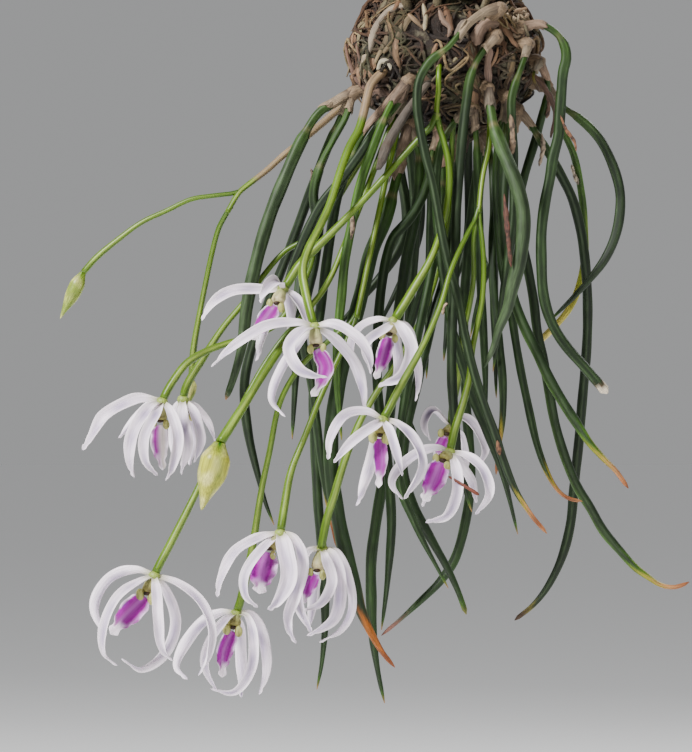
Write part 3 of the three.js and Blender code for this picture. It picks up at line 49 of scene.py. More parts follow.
RIM_RADIUS = 38
FOOT_RADIUS = 22
WALL = 3.6
BAND_HEIGHT = 11
BAND_STEP = 2.2
FLOOR = 4
DRAIN_RADIUS = 5
RIM_Z = FOOT_Z + POT_HEIGHT
BAND_Z = RIM_Z - BAND_HEIGHT
NECK_RADIUS = RIM_RADIUS - BAND_STEP
FLOOR_Z = FOOT_Z + FLOOR
MOUTH_RADIUS = RIM_RADIUS - WALL


def linear(code):
    """An sRGB hex colour as linear light: ((c + 0.055) / 1.055) ** 2.4, or c / 12.92 when dark."""
    c = np.array([int(code[i:i + 2], 16) for i in (1, 3, 5)]) / 255
    return np.where(c > 0.04045, ((c + 0.055) / 1.055) ** 2.4, c / 12.92)


def opaque(code):
    """The colour as linear light, with an alpha of 1 after it."""
    return (*linear(code), 1.0)


def new_material(name):
    """A material without any node."""
    material = bpy.data.materials.new(name)
    material.use_nodes = True
    material.node_tree.nodes.clear()
    return material


def add_node(material, kind, values=(), **settings):
    """Adds a shader node with its settings. values feeds its inputs, by name or from the first on,
    each with a number, a colour, a socket, or a node, which stands for its first output in use."""
    new = material.node_tree.nodes.new("ShaderNode" + kind)
    for key, value in settings.items():
        setattr(new, key, value)
    for key, value in values.items() if isinstance(values, dict) else enumerate(values):
        if isinstance(value, bpy.types.Node):
            value = next(output for output in value.outputs if output.enabled)
        if isinstance(value, bpy.types.NodeSocket):
            material.node_tree.links.new(value, new.inputs[key])
        else:
            new.inputs[key].default_value = value
    return new


def coat(material, colour, roughness, height, strength, depth, values=None):
    """Closes a material: a surface of that colour and roughness, with a relief depth mm deep."""
    relief = add_node(material, "Bump", {"Height": height, "Strength": strength, "Distance": depth / 1000})
    surface = add_node(material, "BsdfPrincipled",
        {"Base Color": colour, "Roughness": roughness, "Normal": relief, **(values or {})})
    add_node(material, "OutputMaterial", [surface])


def shaded(material, colour, pattern, low, high, dark, light):
    """The colour, times dark to light where the pattern runs from low to high."""
    share = add_node(material, "MapRange", [pattern, low, high, dark, light])
    return add_node(material, "VectorMath", {0: colour, "Scale": share}, operation="SCALE")


def overlaid(material, colour, pattern, low, high, most, code):
    """The colour, covered by another by 0 to most where the pattern runs from low to high."""
    share = add_node(material, "MapRange", [pattern, low, high, 0, most])
    return add_node(material, "Mix", {0: share, 6: colour, 7: opaque(code)}, data_type="RGBA")


def across_mm(size):
    """The scale of a noise on coordinates in metres whose blobs are that many millimetres wide."""
    return 1000 / size


def wall_radius(z):
    """The wall's outer radius at a height: it runs straight from the foot to the neck below the band."""
    return FOOT_RADIUS + (NECK_RADIUS - FOOT_RADIUS) * (z - FOOT_Z) / (BAND_Z - FOOT_Z)


def circle(count):
    """Even angles round a full turn."""
    return np.linspace(0, 2 * math.pi, count, endpoint=False)


def reach_of(points):
    """The length along a polyline up to each of its points."""
    return np.concatenate([[0], np.cumsum(np.linalg.norm(np.diff(points, axis=0), axis=1))])


def resample(points, count):
    """count + 1 points at even lengths along a polyline, each coordinate interpolated over length."""
    points = np.asarray(points, float)
    reach = reach_of(points)
    at = np.linspace(0, reach[-1], count + 1)
    return np.column_stack([np.interp(at, reach, column) for column in points.T])


def build(name, skins, finishes, nodes):
    """One object from closed skins. A skin's rings are (stations, sides, 3) points; quads join each
    ring to the next, and one face closes each end, or the last ring joins the first if it wraps.
    Each skin may give every point a tone (linear colour) and a grain (place in its own pattern)."""
    points, tones, grains, loops, starts, kinds = [], [], [], [], [], []
    first = corner = 0
    for skin in skins:
        rings = skin["rings"]
        stations, sides = rings.shape[:2]
        index = first + np.arange(stations * sides).reshape(stations, sides)
        nearer = index if skin.get("wrap") else index[:-1]
        farther = np.roll(index, -1, axis=0) if skin.get("wrap") else index[1:]
        quads = np.stack([nearer, np.roll(nearer, -1, 1), np.roll(farther, -1, 1), farther], -1)
        count = quads.shape[0] * sides
        loops.append(quads.ravel())
        starts.append(corner + 4 * np.arange(count))
        corner += 4 * count
        if not skin.get("wrap"):
            loops += [index[0, ::-1], index[-1]]
            starts.append(corner + np.array([0, sides]))
            corner += 2 * sides
            count += 2
        kinds.append(np.full(count, skin.get("finish", 0)))
        first += stations * sides
        points.append(rings.reshape(-1, 3))
        tone = np.broadcast_to(skin.get("tone", (1, 1, 1)), rings.shape).reshape(-1, 3)
        tones.append(np.column_stack([tone, np.ones(len(tone))]))
        grains.append(np.broadcast_to(skin.get("grain", rings), rings.shape).reshape(-1, 3))
    loops = np.concatenate(loops)
    starts = np.concatenate(starts)
    mesh = bpy.data.meshes.new(name)
    mesh.vertices.add(first)
    mesh.vertices.foreach_set("co", np.concatenate(points).ravel() * 0.001)
    mesh.loops.add(len(loops))
    mesh.loops.foreach_set("vertex_index", loops.astype(np.int32))
    mesh.polygons.add(len(starts))
    mesh.polygons.foreach_set("loop_start", starts.astype(np.int32))
    for finish in finishes:
        mesh.materials.append(finish)
    mesh.polygons.foreach_set("material_index", np.concatenate(kinds).astype(np.int32))
    tone_data = mesh.attributes.new("tone", "FLOAT_COLOR", "POINT").data
    tone_data.foreach_set("color", np.concatenate(tones).ravel())
    grain_data = mesh.attributes.new("grain", "FLOAT_VECTOR", "POINT").data
    grain_data.foreach_set("vector", np.concatenate(grains).ravel())
    mesh.update(calc_edges=True)
    mesh.validate()
    mesh.shade_smooth()
    piece = bpy.data.objects.new(name, mesh)
    bpy.context.scene.collection.objects.link(piece)
    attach(piece, "root")
    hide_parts(*nodes)


# Unglazed earthenware: rough, without gloss, its grit just visible; IOR of fired clay about 1.5
clay = new_material("fired_clay")
place = add_node(clay, "TexCoord").outputs["Object"]
patches = add_node(clay, "TexNoise", {"Vector": place, "Scale": across_mm(14), "Detail": 5})
grit = add_node(clay, "TexNoise", {"Vector": place, "Scale": across_mm(0.8), "Detail": 3})
lime = add_node(clay, "TexNoise", {"Vector": place, "Scale": across_mm(6), "Detail": 8, "Roughness": 0.7})
height = add_node(clay, "SeparateXYZ", [place]).outputs["Z"]
body = add_node(clay, "Mix", {0: patches, 6: opaque("#8b4525"), 7: opaque("#b4724b")}, data_type="RGBA")
fired = shaded(clay, body, grit, 0.3, 0.7, 0.82, 1.12)
limed = overlaid(clay, fired, lime, 0.52, 0.68, 0.62, "#c2b4a1")
near_foot = add_node(clay, "MapRange", [height, -0.142, -0.166, 0, 1])
damp = add_node(clay, "Math", [near_foot, patches], operation="MULTIPLY")
algae = add_node(clay, "Mix", {0: damp, 6: limed, 7: opaque("#464f2b")}, data_type="RGBA")
coat(clay, algae, 0.88, grit, 0.5, 0.4, {"IOR": 1.5})

# the wall's outline from the rim down the outside, under the foot and up the inside
outline = np.array([
    [MOUTH_RADIUS + 0.6, RIM_Z], [RIM_RADIUS - 1.0, RIM_Z], [RIM_RADIUS - 0.3, RIM_Z - 0.4],
    [RIM_RADIUS, RIM_Z - 1.2], [RIM_RADIUS, BAND_Z + 0.7], [RIM_RADIUS - 0.4, BAND_Z + 0.1],
    [NECK_RADIUS + 0.4, BAND_Z - 0.6], [NECK_RADIUS, BAND_Z - 1.3], [wall_radius(FOOT_Z + 1), FOOT_Z + 1],
    [FOOT_RADIUS - 0.7, FOOT_Z], [DRAIN_RADIUS + 0.5, FOOT_Z], [DRAIN_RADIUS, FOOT_Z + 0.6],
    [DRAIN_RADIUS, FLOOR_Z - 0.5], [DRAIN_RADIUS + 0.6, FLOOR_Z],
    [wall_radius(FLOOR_Z) - WALL - 1, FLOOR_Z], [wall_radius(FLOOR_Z) - WALL, FLOOR_Z + 1.4],
    [MOUTH_RADIUS - 0.8, BAND_Z], [MOUTH_RADIUS, RIM_Z - 1.2], [MOUTH_RADIUS + 0.2, RIM_Z - 0.3],
    [MOUTH_RADIUS + 0.6, RIM_Z]])
outline = resample(outline, 150)[:-1]
angle = circle(120)[:, None]
# faint rings left by the mould, and a wall that is not quite true
untrue = 0.08 * np.sin(2 * angle + 0.6) * (outline[:, 0] > DRAIN_RADIUS + 3)
radius = outline[:, 0] + 0.05 * np.sin(1.9 * outline[:, 1]) + untrue
wall = np.stack([radius * np.cos(angle), radius * np.sin(angle), outline[:, 1] + 0 * radius], -1)
build("clay_pot", [{"rings": wall, "wrap": True}], [clay], ["pot"])

# Hanger: galvanised wire bent by hand. A ring grips the pot under its band, three legs hook on it
# and run up to a pinched bead, and the bead carries the hook.
PLANT_TOP = -168
WIRE = 1.1
HOOK_RADIUS = 11
HOOK_SHANK = 26
LEG_BOW = 3.2
RING_RADIUS = NECK_RADIUS + WIRE + GAP
RING_Z = BAND_Z - 1 - WIRE - GAP
BEAD_Z = -HOOK_RADIUS - HOOK_SHANK
BEAD_HEIGHT = 5
BEAD_RADIUS = 4.4
SIDE = (0.12, -1, 0.2)


def line_through(points, step):
    """Cubic pieces through the points, each slope taken from the two neighbours, in even steps."""
    points = np.asarray(points, float)
    last = len(points) - 1
    reach = reach_of(points)
    low = np.maximum(np.arange(last + 1) - 1, 0)
    high = np.minimum(np.arange(last + 1) + 1, last)
    slope = (points[high] - points[low]) / (reach[high] - reach[low])[:, None]
    t = np.arange(12)[None, :, None] / 12
    span = np.diff(reach)[:, None, None]
    rise = t * t * (3 - 2 * t)
    fine = (points[:-1, None] * (1 - rise) + points[1:, None] * rise
            + span * (t * (1 - t) ** 2 * slope[:-1, None] + t * t * (t - 1) * slope[1:, None]))
    fine = np.vstack([fine.reshape(-1, points.shape[1]), points[-1:]])
    return resample(fine, max(2, int(reach_of(fine)[-1] / step + 0.5)))


def unit(v):
    """Each vector divided by its length."""
    return v / np.linalg.norm(v, axis=-1, keepdims=True)


def frames(line, side, first=0):
    """The direction at each point of a line, and two directions across it that start from side at
    one point and turn from there no more than the line does."""
    ways = unit(np.vstack([line[1] - line[0], line[2:] - line[:-2], line[-1] - line[-2]]))
    across = np.empty_like(ways)

    def upright(v, way):
        """The part of v that is square to the way, one long."""
        v = v - v.dot(way) * way
        return v / math.sqrt(v.dot(v))
    across[first] = upright(np.asarray(side, float), ways[first])
    for i in range(first + 1, len(line)):
        across[i] = upright(across[i - 1], ways[i])
    for i in range(first - 1, -1, -1):
        across[i] = upright(across[i + 1], ways[i])
    return ways, across, np.cross(ways, across)


def tube(line, radii, sides, side=SIDE, shape=1, **skin):
    """A skin of radius r(s) * shape(angle) round a line, in its frames, which start from side. Its
    grain unrolls the tube straight: (r cos a, r sin a, s)."""
    _, across, other = frames(line, side)
    a = circle(sides)
    r = np.broadcast_to(np.broadcast_to(radii, len(line))[:, None] * shape, (len(line), sides))
    rings = (line[:, None] + across[:, None] * (r * np.cos(a))[..., None]
             + other[:, None] * (r * np.sin(a))[..., None])
    grain = np.stack([r * np.cos(a), r * np.sin(a), reach_of(line)[:, None] + 0 * r], -1)
    return {"rings": rings, "grain": grain, **skin}


def spun(profile, sides):
    """A skin turned about the z axis, from a profile of [radius, z] points."""
    axis = np.column_stack([0 * profile, profile[:, 1]])
    return tube(axis, profile[:, 0], sides, side=(1, 0, 0))


# Galvanised steel wire: dull zinc grey, its spangle and scratches drawn out along the wire
wire_finish = new_material("galvanised_wire")
drawn = add_node(wire_finish, "Attribute", attribute_name="grain").outputs["Vector"]
stretched = add_node(wire_finish, "Mapping", {"Vector": drawn, "Scale": (1.2, 1.2, 0.12)})
scratches = add_node(wire_finish, "TexNoise", {"Vector": stretched, "Scale": 2, "Detail": 4})
zinc = add_node(wire_finish, "Mix",
    {0: scratches, 6: opaque("#6b6d70"), 7: opaque("#b3b6ba")}, data_type="RGBA")
dullness = add_node(wire_finish, "MapRange", [scratches, 0, 1, 0.32, 0.55])
coat(wire_finish, zinc, dullness, scratches, 0.25, 0.1, {"Metallic": 1})

# the ring, as a wire's round section carried about the axis
turn = circle(144)[:, None]
section_r, section_z = WIRE * np.cos(circle(12)) + 0 * turn, WIRE * np.sin(circle(12)) + 0 * turn
ring_r = RING_RADIUS + section_r
ring = np.stack([ring_r * np.cos(turn), ring_r * np.sin(turn), RING_Z - section_z], -1)
ring_grain = np.stack([section_r, section_z, RING_RADIUS * turn + 0 * section_r], -1)
ring_skin = {"rings": ring, "wrap": True, "grain": ring_grain}
build("wire_ring", [ring_skin], [wire_finish], ["hanger_ring"])

LEG_RADIUS = RING_RADIUS + 2 * WIRE + GAP
LEG_TOP = 2.5
BEAD_FOOT_Z = BEAD_Z - BEAD_HEIGHT
leg_route = [[LEG_RADIUS, RING_Z], [LEG_RADIUS + 0.6, RIM_Z - 2], [LEG_RADIUS - 1 + LEG_BOW, RIM_Z + 8],
    [LEG_RADIUS - 8, RIM_Z + 26], [LEG_TOP + 10, BEAD_FOOT_Z - 22], [LEG_TOP, BEAD_FOOT_Z - 5],
    [LEG_TOP, BEAD_FOOT_Z - GAP]]
out, up = line_through(leg_route, 1.2).T
for number, heading in enumerate(np.radians([90, 210, 330]), 1):
    leg_line = np.column_stack([out * np.cos(heading), out * np.sin(heading), up])
    leg = tube(leg_line, WIRE, 12, side=(-np.sin(heading), np.cos(heading), 0))
    build(f"wire_leg_{number}", [leg], [wire_finish], [f"hanger_leg_{number}"])

ARC_Z = WIRE - HOOK_RADIUS
arc = np.radians(200 - 27.5 * np.arange(9))
hook_route = np.vstack([[[0, 0, BEAD_Z - 2], [0, 0, BEAD_Z + 8], [-4, 0, ARC_Z - HOOK_RADIUS + 0.5]],
    np.column_stack([HOOK_RADIUS * np.cos(arc), 0 * arc, ARC_Z + HOOK_RADIUS * np.sin(arc)]),
    [[HOOK_RADIUS + 2.4, 0, ARC_Z - 8]]])
hook = tube(line_through(hook_route, 0.8), WIRE, 14, side=(0, 1, 0))
bead_profile = line_through([[BEAD_RADIUS - 1.2, BEAD_FOOT_Z], [BEAD_RADIUS - 0.3, BEAD_FOOT_Z + 0.8],
    [BEAD_RADIUS, BEAD_Z - BEAD_HEIGHT / 2], [BEAD_RADIUS - 0.8, BEAD_Z - 1],
    [BEAD_RADIUS - 2.2, BEAD_Z]], 0.4)
build("wire_hook", [hook, spun(bead_profile, 32)], [wire_finish], ["hanger_hook"])

# Leafy stems: short creeping rhizomes, each with long round succulent leaves that hang down. A
# groove runs along each leaf, a papery sheath wraps its foot, and old tips have dried to orange
# and brown. By stem: its fork as [x, y, drop], and for each leaf the radius, [y halfway, y at the
# tip], the kind of tip and the path as [x, drop], with every drop measured from the pot's foot.
LEAFY_STEMS = {
    "left_edge": ([-28, -4, 27.5], [
        (2.0, [-10, -8], "pale", [[-32, 29.5], [-38, 33.5], [-43, 41.5], [-47.5, 51.5], [-52.5, 64],
            [-56.5, 77.5], [-59.5, 91.5], [-61, 103.5], [-63.5, 113], [-66, 120]]),
        (1.6, [-4, 2], "green", [[-29.5, 34], [-33.5, 41.5], [-37.5, 49.5], [-39.5, 58.5], [-38, 67.5],
            [-39.5, 79.5], [-42.5, 93], [-44.5, 108], [-45.5, 123], [-46, 132]]),
        (1.5, [6, 4], "green", [[-32, 36], [-37, 48], [-41.5, 60], [-47, 75], [-53, 90], [-58, 103.5],
            [-60.5, 115.5], [-59.5, 129], [-56.5, 142.5], [-54, 151.5], [-51.5, 158]]),
    ]),
    "left_fan": ([-11.5, -23, 25], [
        (1.4, [-17, -13], "green", [[-14, 31], [-20, 38], [-26, 47], [-32, 55], [-37, 61], [-40.5, 67.5],
            [-43, 73], [-45.5, 79], [-47.5, 85], [-50.5, 92], [-53, 99]]),
        (1.3, [-10, -8], "tan", [[-15.5, 33.5], [-22.5, 42.5], [-29.5, 52], [-35, 61.5], [-40, 71.5],
            [-43, 79.5], [-44, 90], [-42.5, 103.5], [-40, 115.5], [-38.5, 127.5], [-37, 139.5],
            [-35, 151.5], [-32.5, 164.5]]),
        (1.5, [-6, -4], "green", [[-18.5, 32.5], [-24.5, 40], [-29, 49.5], [-32.5, 60], [-35, 75],
            [-37, 90], [-39, 105], [-39.5, 120], [-39, 135], [-38, 153], [-36.5, 171], [-36, 187.5],
            [-37, 199.5], [-38.5, 207.5]]),
        (1.4, [-24, -22], "lime", [[-16, 31], [-20.5, 41.5], [-25, 54], [-28, 67.5], [-30, 78],
            [-31, 88.5], [-32, 99], [-32.5, 111], [-32, 121.5], [-31, 132]]),
    ]),
    "front_arch": ([16.5, -23, 2.5], [
        (1.35, [-36, -24], "tan", [[12.5, 3.5], [7.5, 7], [3.5, 11.5], [0.5, 15], [-2.5, 17], [-5.5, 20],
            [-8, 25], [-8.5, 32], [-7.5, 39.5], [-6, 47], [-4, 54.5], [-2.5, 62.5], [-1, 71], [1, 80],
            [3.5, 89], [5.5, 99.5], [8, 110], [11, 120], [14.5, 129.5], [17.5, 138.5], [21, 147],
            [25.5, 154], [30.5, 160]]),
    ]),
    "broad": ([-10.5, -10, 37], [
        (2.3, [-20, -12], "orange", [[-12.5, 43.5], [-14.5, 53.5], [-18, 66], [-22, 75.5], [-24.5, 86],
            [-27.5, 97.5], [-30.5, 108.5], [-32.5, 119], [-34, 129.5], [-34, 141], [-32.5, 152.5],
            [-30.5, 162.5], [-28, 172.5], [-25.5, 182.5], [-22.5, 189.5], [-19, 195.5], [-15, 200.5]]),
        (1.7, [-2, 4], "green", [[-7.5, 48], [-8.5, 63], [-11.5, 78], [-14, 96], [-15.5, 114], [-17, 129],
            [-18.5, 144], [-20.5, 156.5], [-22, 168.5], [-22, 180.5], [-21.5, 192], [-20, 202.5],
            [-18, 212]]),
    ]),
    "elbow": ([-1.5, -12, 39], [
        (1.5, [-10, -6], "green", [[-3.5, 45], [-5, 54], [-8, 61.5], [-11.5, 66.5], [-15.5, 71],
            [-17.5, 77], [-19, 85.5], [-20, 96], [-20.5, 109.5], [-19.5, 124.5], [-17.5, 136.5],
            [-16.5, 147], [-16, 157.5], [-16.5, 166.5], [-17.5, 177.5], [-19, 189.5]]),
        (1.35, [-24, -20], "green", [[-0.5, 49.5], [-1, 64.5], [-4, 81], [-7.5, 97.5], [-10.5, 111],
            [-13, 126], [-14, 138], [-13, 147.5], [-10, 155], [-6.5, 162.5], [-2.5, 170], [1, 176.5]]),
    ]),
    "middle": ([5, -4, 41], [
        (1.5, [-16, -14], "blunt", [[4.5, 48], [3, 64.5], [0.5, 81], [-4, 97.5], [-8, 114], [-11.5, 129],
            [-12.5, 141], [-9.5, 151.5], [-4, 162], [0.5, 170], [4, 177.5], [6.5, 184.5]]),
        (1.2, [4, 6], "green", [[2, 49.5], [-1.5, 67.5], [-6.5, 85.5], [-11, 100.5], [-13, 111.5],
            [-12.5, 120], [-10, 127], [-7, 133]]),
    ]),
    "inner": ([8.5, -19, 32.5], [
        (1.35, [-20, -12], "green", [[4, 35.5], [-0.5, 42], [-2.5, 51], [-2.5, 63], [-1.5, 75], [0, 86.5],
            [2, 98], [5, 109], [8.5, 120], [13.5, 131.5], [17.5, 142.5], [20, 152], [22, 160.5]]),
        (1.35, [-8, -2], "green", [[9.5, 42], [10, 55.5], [10.5, 70.5], [11, 87], [12, 103.5],
            [12.5, 118.5], [12, 130]]),
    ]),
    "long_tip": ([11.5, 4, 39], [
        (1.5, [6, 4], "pink", [[10.5, 48], [8.5, 63], [7, 79.5], [6, 96], [6.5, 111], [7, 124.5],
            [8, 136.5], [8, 147], [6.5, 157.5], [3.5, 168], [-1, 175], [-6, 180], [-12, 185.5],
            [-19, 191.5]]),
        (1.3, [-14, -10], "tan", [[14, 45], [15, 60], [14.5, 75], [15, 90], [16.5, 103.5], [17.5, 114.5],
            [17.5, 124.5], [16.5, 133.5], [15.5, 142.5]]),
    ]),
    "grey": ([13, -22, 27], [
        (2.2, [-34, -28], "grey", [[13.5, 32], [14.5, 38], [16.5, 44], [19, 50], [21.5, 57], [23, 63.5],
            [23, 70], [22, 78], [20, 85.5], [18.5, 92.5], [16, 98.5], [14, 105], [11.5, 110.5]]),
    ]),
    "right_front": ([19, -17, 29.5], [
        (1.6, [-22, -20], "gold", [[18.5, 39], [18, 51], [17.5, 64.5], [18.5, 77.5], [20, 87.5],
            [22, 93.5], [24.5, 99.5], [27.5, 105.5], [31, 113], [35, 120], [39.5, 127], [43.5, 133],
            [47.5, 137.5], [51.5, 141.5], [55, 146.5]]),
        (1.25, [-10, -12], "tan", [[16.5, 39], [15.5, 52.5], [16, 67.5], [17.5, 81], [20, 93.5],
            [21.5, 103], [23, 111.5], [25, 121], [26.5, 128], [28, 134], [30.5, 141], [33.5, 146.5],
            [37, 149.5], [41.5, 150.5]]),
    ]),
    "right_long": ([22.5, -6, 33], [
        (1.45, [-6, -4], "gold", [[20.5, 42], [21, 54], [22, 63.5], [23.5, 72.5], [25.5, 82], [27, 90.5],
            [28, 99], [30, 108.5], [31.5, 117], [33.5, 127.5], [36.5, 137.5], [40, 146], [44, 152.5],
            [48, 159.5], [53, 165.5], [57.5, 170.5], [61.5, 173.5], [65.5, 176], [70, 176.5], [74, 175]]),
        (1.5, [6, 8], "brown", [[25, 35.5], [29, 41.5], [32.5, 47], [35.5, 52.5], [38.5, 58.5],
            [40.5, 65], [42, 72.5], [43, 81], [43.5, 90], [43.5, 99], [43, 108.5], [42, 120], [41, 132.5],
            [39.5, 147], [38.5, 157.5], [36, 167.5], [32, 176], [27.5, 182], [21.5, 187]]),
    ]),
    "hooked": ([23.5, -16, 8], [
        (1.6, [-18, -14], "cut", [[28, 7], [32.5, 9], [35.5, 12.5], [36.5, 17], [35.5, 21.5], [35, 27.5],
            [34.5, 35], [34, 41], [32.5, 47], [31.5, 53.5], [30, 61], [29, 69.5], [29, 78.5],
            [29.5, 87.5], [31, 94], [33.5, 99.5], [37, 104.5], [41, 109], [44.5, 113], [49, 118]]),
    ]),
    "right_loop": ([31, -1, 25], [
        (1.5, [-4, -6], "green", [[35.5, 31], [41, 35], [46.5, 40.5], [50.5, 48], [53, 56.5], [53, 64],
            [51.5, 71], [48.5, 77.5], [44, 83.5], [39, 89], [34.5, 93.5], [31.5, 96.5]]),
        (1.1, [16, 12], "yellow", [[35, 36], [39.5, 45.5], [42, 57], [43, 67.5], [43, 77.5], [41, 86.5],
            [38.5, 92], [35, 96.5], [31.5, 100], [29, 102.5]]),
    ]),
    "behind_grey": ([28.5, -10, 18], [
        (1.35, [0, 4], "green", [[31, 23.5], [31, 29], [29.5, 34.5], [27.5, 42], [25, 50], [23, 57.5],
            [21, 65], [18.5, 72], [15.5, 77.5], [12.5, 83], [10, 91.5], [8, 101]]),
        (1.2, [-20, -14], "brown", [[26.5, 23], [28.5, 27.5]]),
    ]),
    "sheathed": ([25, -17, 13], [
        (1.35, [-22, -12], "green", [[23.5, 18.5], [21.5, 24], [20, 29.5], [20, 36.5], [20.5, 45],
            [20.5, 54], [20.5, 64.5], [19, 76.5], [17.5, 88.5], [16, 100.5], [14.5, 111.5]]),
    ]),
    "upper": ([15.5, -23, 11], [
        (1.5, [-30, -22], "green", [[12.5, 14], [9.5, 18.5], [7.5, 23.5], [6.5, 29.5], [5.5, 37.5],
            [4.5, 48], [3.5, 60], [3, 73.5], [2.5, 87], [2, 100.5], [2, 114], [3, 127.5], [4.5, 139.5],
            [6, 147], [8, 153.5]]),
    ]),
}

# The stalks and blooms stand here too, since the leaves are eased apart from them. By flower stem, for
# each strand: [radius at the start, at the end], [y at the start, at the end], what it ends in, path
FLOWER_STEMS = {
    "a": [
        ([0.8, 0.8], [-22, -28], "", [[-1.5, 17.5], [-2, 22.5], [-2, 27], [-2.5, 32], [-2.5, 36.5]]),
        ([1.1, 1.3], [-28, -34], "f1", [[-2.5, 36.5], [-7.5, 41.5], [-13, 47.5], [-21, 56.5], [-30, 66],
            [-38, 74], [-43.5, 79.5], [-47, 85]]),
        ([1.1, 1.3], [-28, -34], "f3", [[-2.5, 36.5], [-0.5, 42.5], [1, 49.5], [1, 57], [-0.5, 66.5],
            [-4, 77], [-10, 87.5], [-14.5, 95]]),
    ],
    "b": [
        ([0.9, 0.8], [-16, -28], "", [[13.5, 30], [13.5, 38.5], [13, 45], [11.5, 51.5], [10.5, 58.5],
            [10, 64]]),
        ([0.8, 1.2], [-28, -56], "f4", [[10, 64], [5, 73.5], [1.5, 81.5], [-1.5, 91.5], [-5.5, 101],
            [-10, 109.5], [-14.5, 117.5], [-18, 124.5]]),
        ([0.8, 1.2], [-28, -36], "f5", [[10, 64], [11, 72], [11.5, 80.5], [11, 90], [9.5, 97.5], [8, 105],
            [7, 114], [5, 121.5], [2.5, 129.5], [1.5, 134.5]]),
        ([0.8, 1.1], [-28, -10], "f11", [[10, 64], [8.5, 72], [8.5, 84], [7, 93.5], [5, 102], [4, 114],
            [2.5, 121.5], [2, 127]]),
    ],
    "c": [
        ([1.3, 0.8], [8, -8], "", [[-23, 25], [-29, 29.5], [-36, 35.5], [-43.5, 42], [-48.5, 46],
            [-54, 51], [-58.5, 54.5], [-62, 57.5], [-65.5, 63.5]]),
        ([0.6, 0.7], [-6.5, -6], "bud1", [[-62, 57.5], [-70.5, 58.5], [-76.5, 59.5], [-84, 63],
            [-91.5, 66.5], [-99, 72], [-105, 77], [-109, 81.5]]),
        ([0.8, 0.9], [-8, 6], "ov", [[-65.5, 63.5], [-68, 68], [-70, 75], [-72.5, 86.5], [-74.5, 96.5],
            [-76, 105.5], [-76.5, 113.5]]),
    ],
    "d": [
        ([1.6, 1.2], [-16, -58], "f2", [[-17.5, 20.5], [-22, 25], [-23.5, 30], [-24.5, 34.5], [-26, 39.5],
            [-28.5, 44], [-31, 50.5], [-33, 57], [-35, 63], [-38, 69.5], [-41, 75.5], [-42.5, 81.5],
            [-41.5, 88.5], [-39.5, 96.5]]),
    ],
    "e": [
        ([0.9, 0.9], [-12, -7.5], "", [[-13, 26.5], [-16.5, 31], [-21, 40.5], [-28, 52.5], [-34.5, 63],
            [-39.5, 70]]),
        ([0.9, 1.2], [-7.5, -6], "f6b", [[-39.5, 70], [-43.5, 72.5], [-48.5, 75.5], [-55, 83], [-60, 90],
            [-67, 98.5], [-73.5, 108.5], [-77.5, 115], [-79, 119]]),
        ([0.9, 1.2], [-7.5, -22], "f6a", [[-39.5, 70], [-40, 78.5], [-44.5, 88.5], [-51, 97.5],
            [-58.5, 101], [-65.5, 103], [-72, 105.5], [-77.5, 109], [-82, 115], [-84.5, 119.5]]),
    ],
    "f": [
        ([0.9, 0.9], [-4, -30], "", [[-14, 31], [-18, 42], [-23, 55.5], [-29, 70.5], [-35.5, 85.5],
            [-43.5, 96]]),
        ([1.3, 1.4], [-30, -50], "bud2", [[-43.5, 96], [-46.5, 100.5], [-52.5, 109.5], [-60, 121.5],
            [-67, 132.5]]),
        ([0.9, 1.2], [-30, -44], "f7", [[-43.5, 96], [-48.5, 101.5], [-55, 111], [-61.5, 123], [-66, 132],
            [-70.5, 139.5], [-74.5, 148], [-80.5, 160], [-86, 170.5]]),
    ],
    "g": [
        ([0.9, 0.9], [-2, -30], "", [[-11.5, 30], [-13.5, 36.5], [-16.5, 48], [-20, 64.5], [-23.5, 81],
            [-26.5, 95.5]]),
        ([0.9, 1.2], [-30, -46], "f9", [[-26.5, 95.5], [-31, 105.5], [-35, 114], [-38.5, 122], [-42, 131],
            [-46, 141], [-48, 151.5], [-49, 158.5]]),
        ([0.9, 1.2], [-30, -20], "f8", [[-26.5, 95.5], [-34.5, 102], [-42, 108.5], [-47, 115.5],
            [-50, 122.5], [-52.5, 135], [-55, 147], [-58, 165.5], [-62, 183]]),
    ],
    "h": [
        ([0.9, 1.2], [-8, -24], "f10", [[3, 31], [2, 48], [1, 64.5], [-2.5, 82.5], [-8, 97.5],
            [-14.5, 109], [-21, 118.5], [-26, 127.5], [-30, 138], [-33.5, 149.5], [-35.5, 156],
            [-37, 163.5]]),
    ],
}

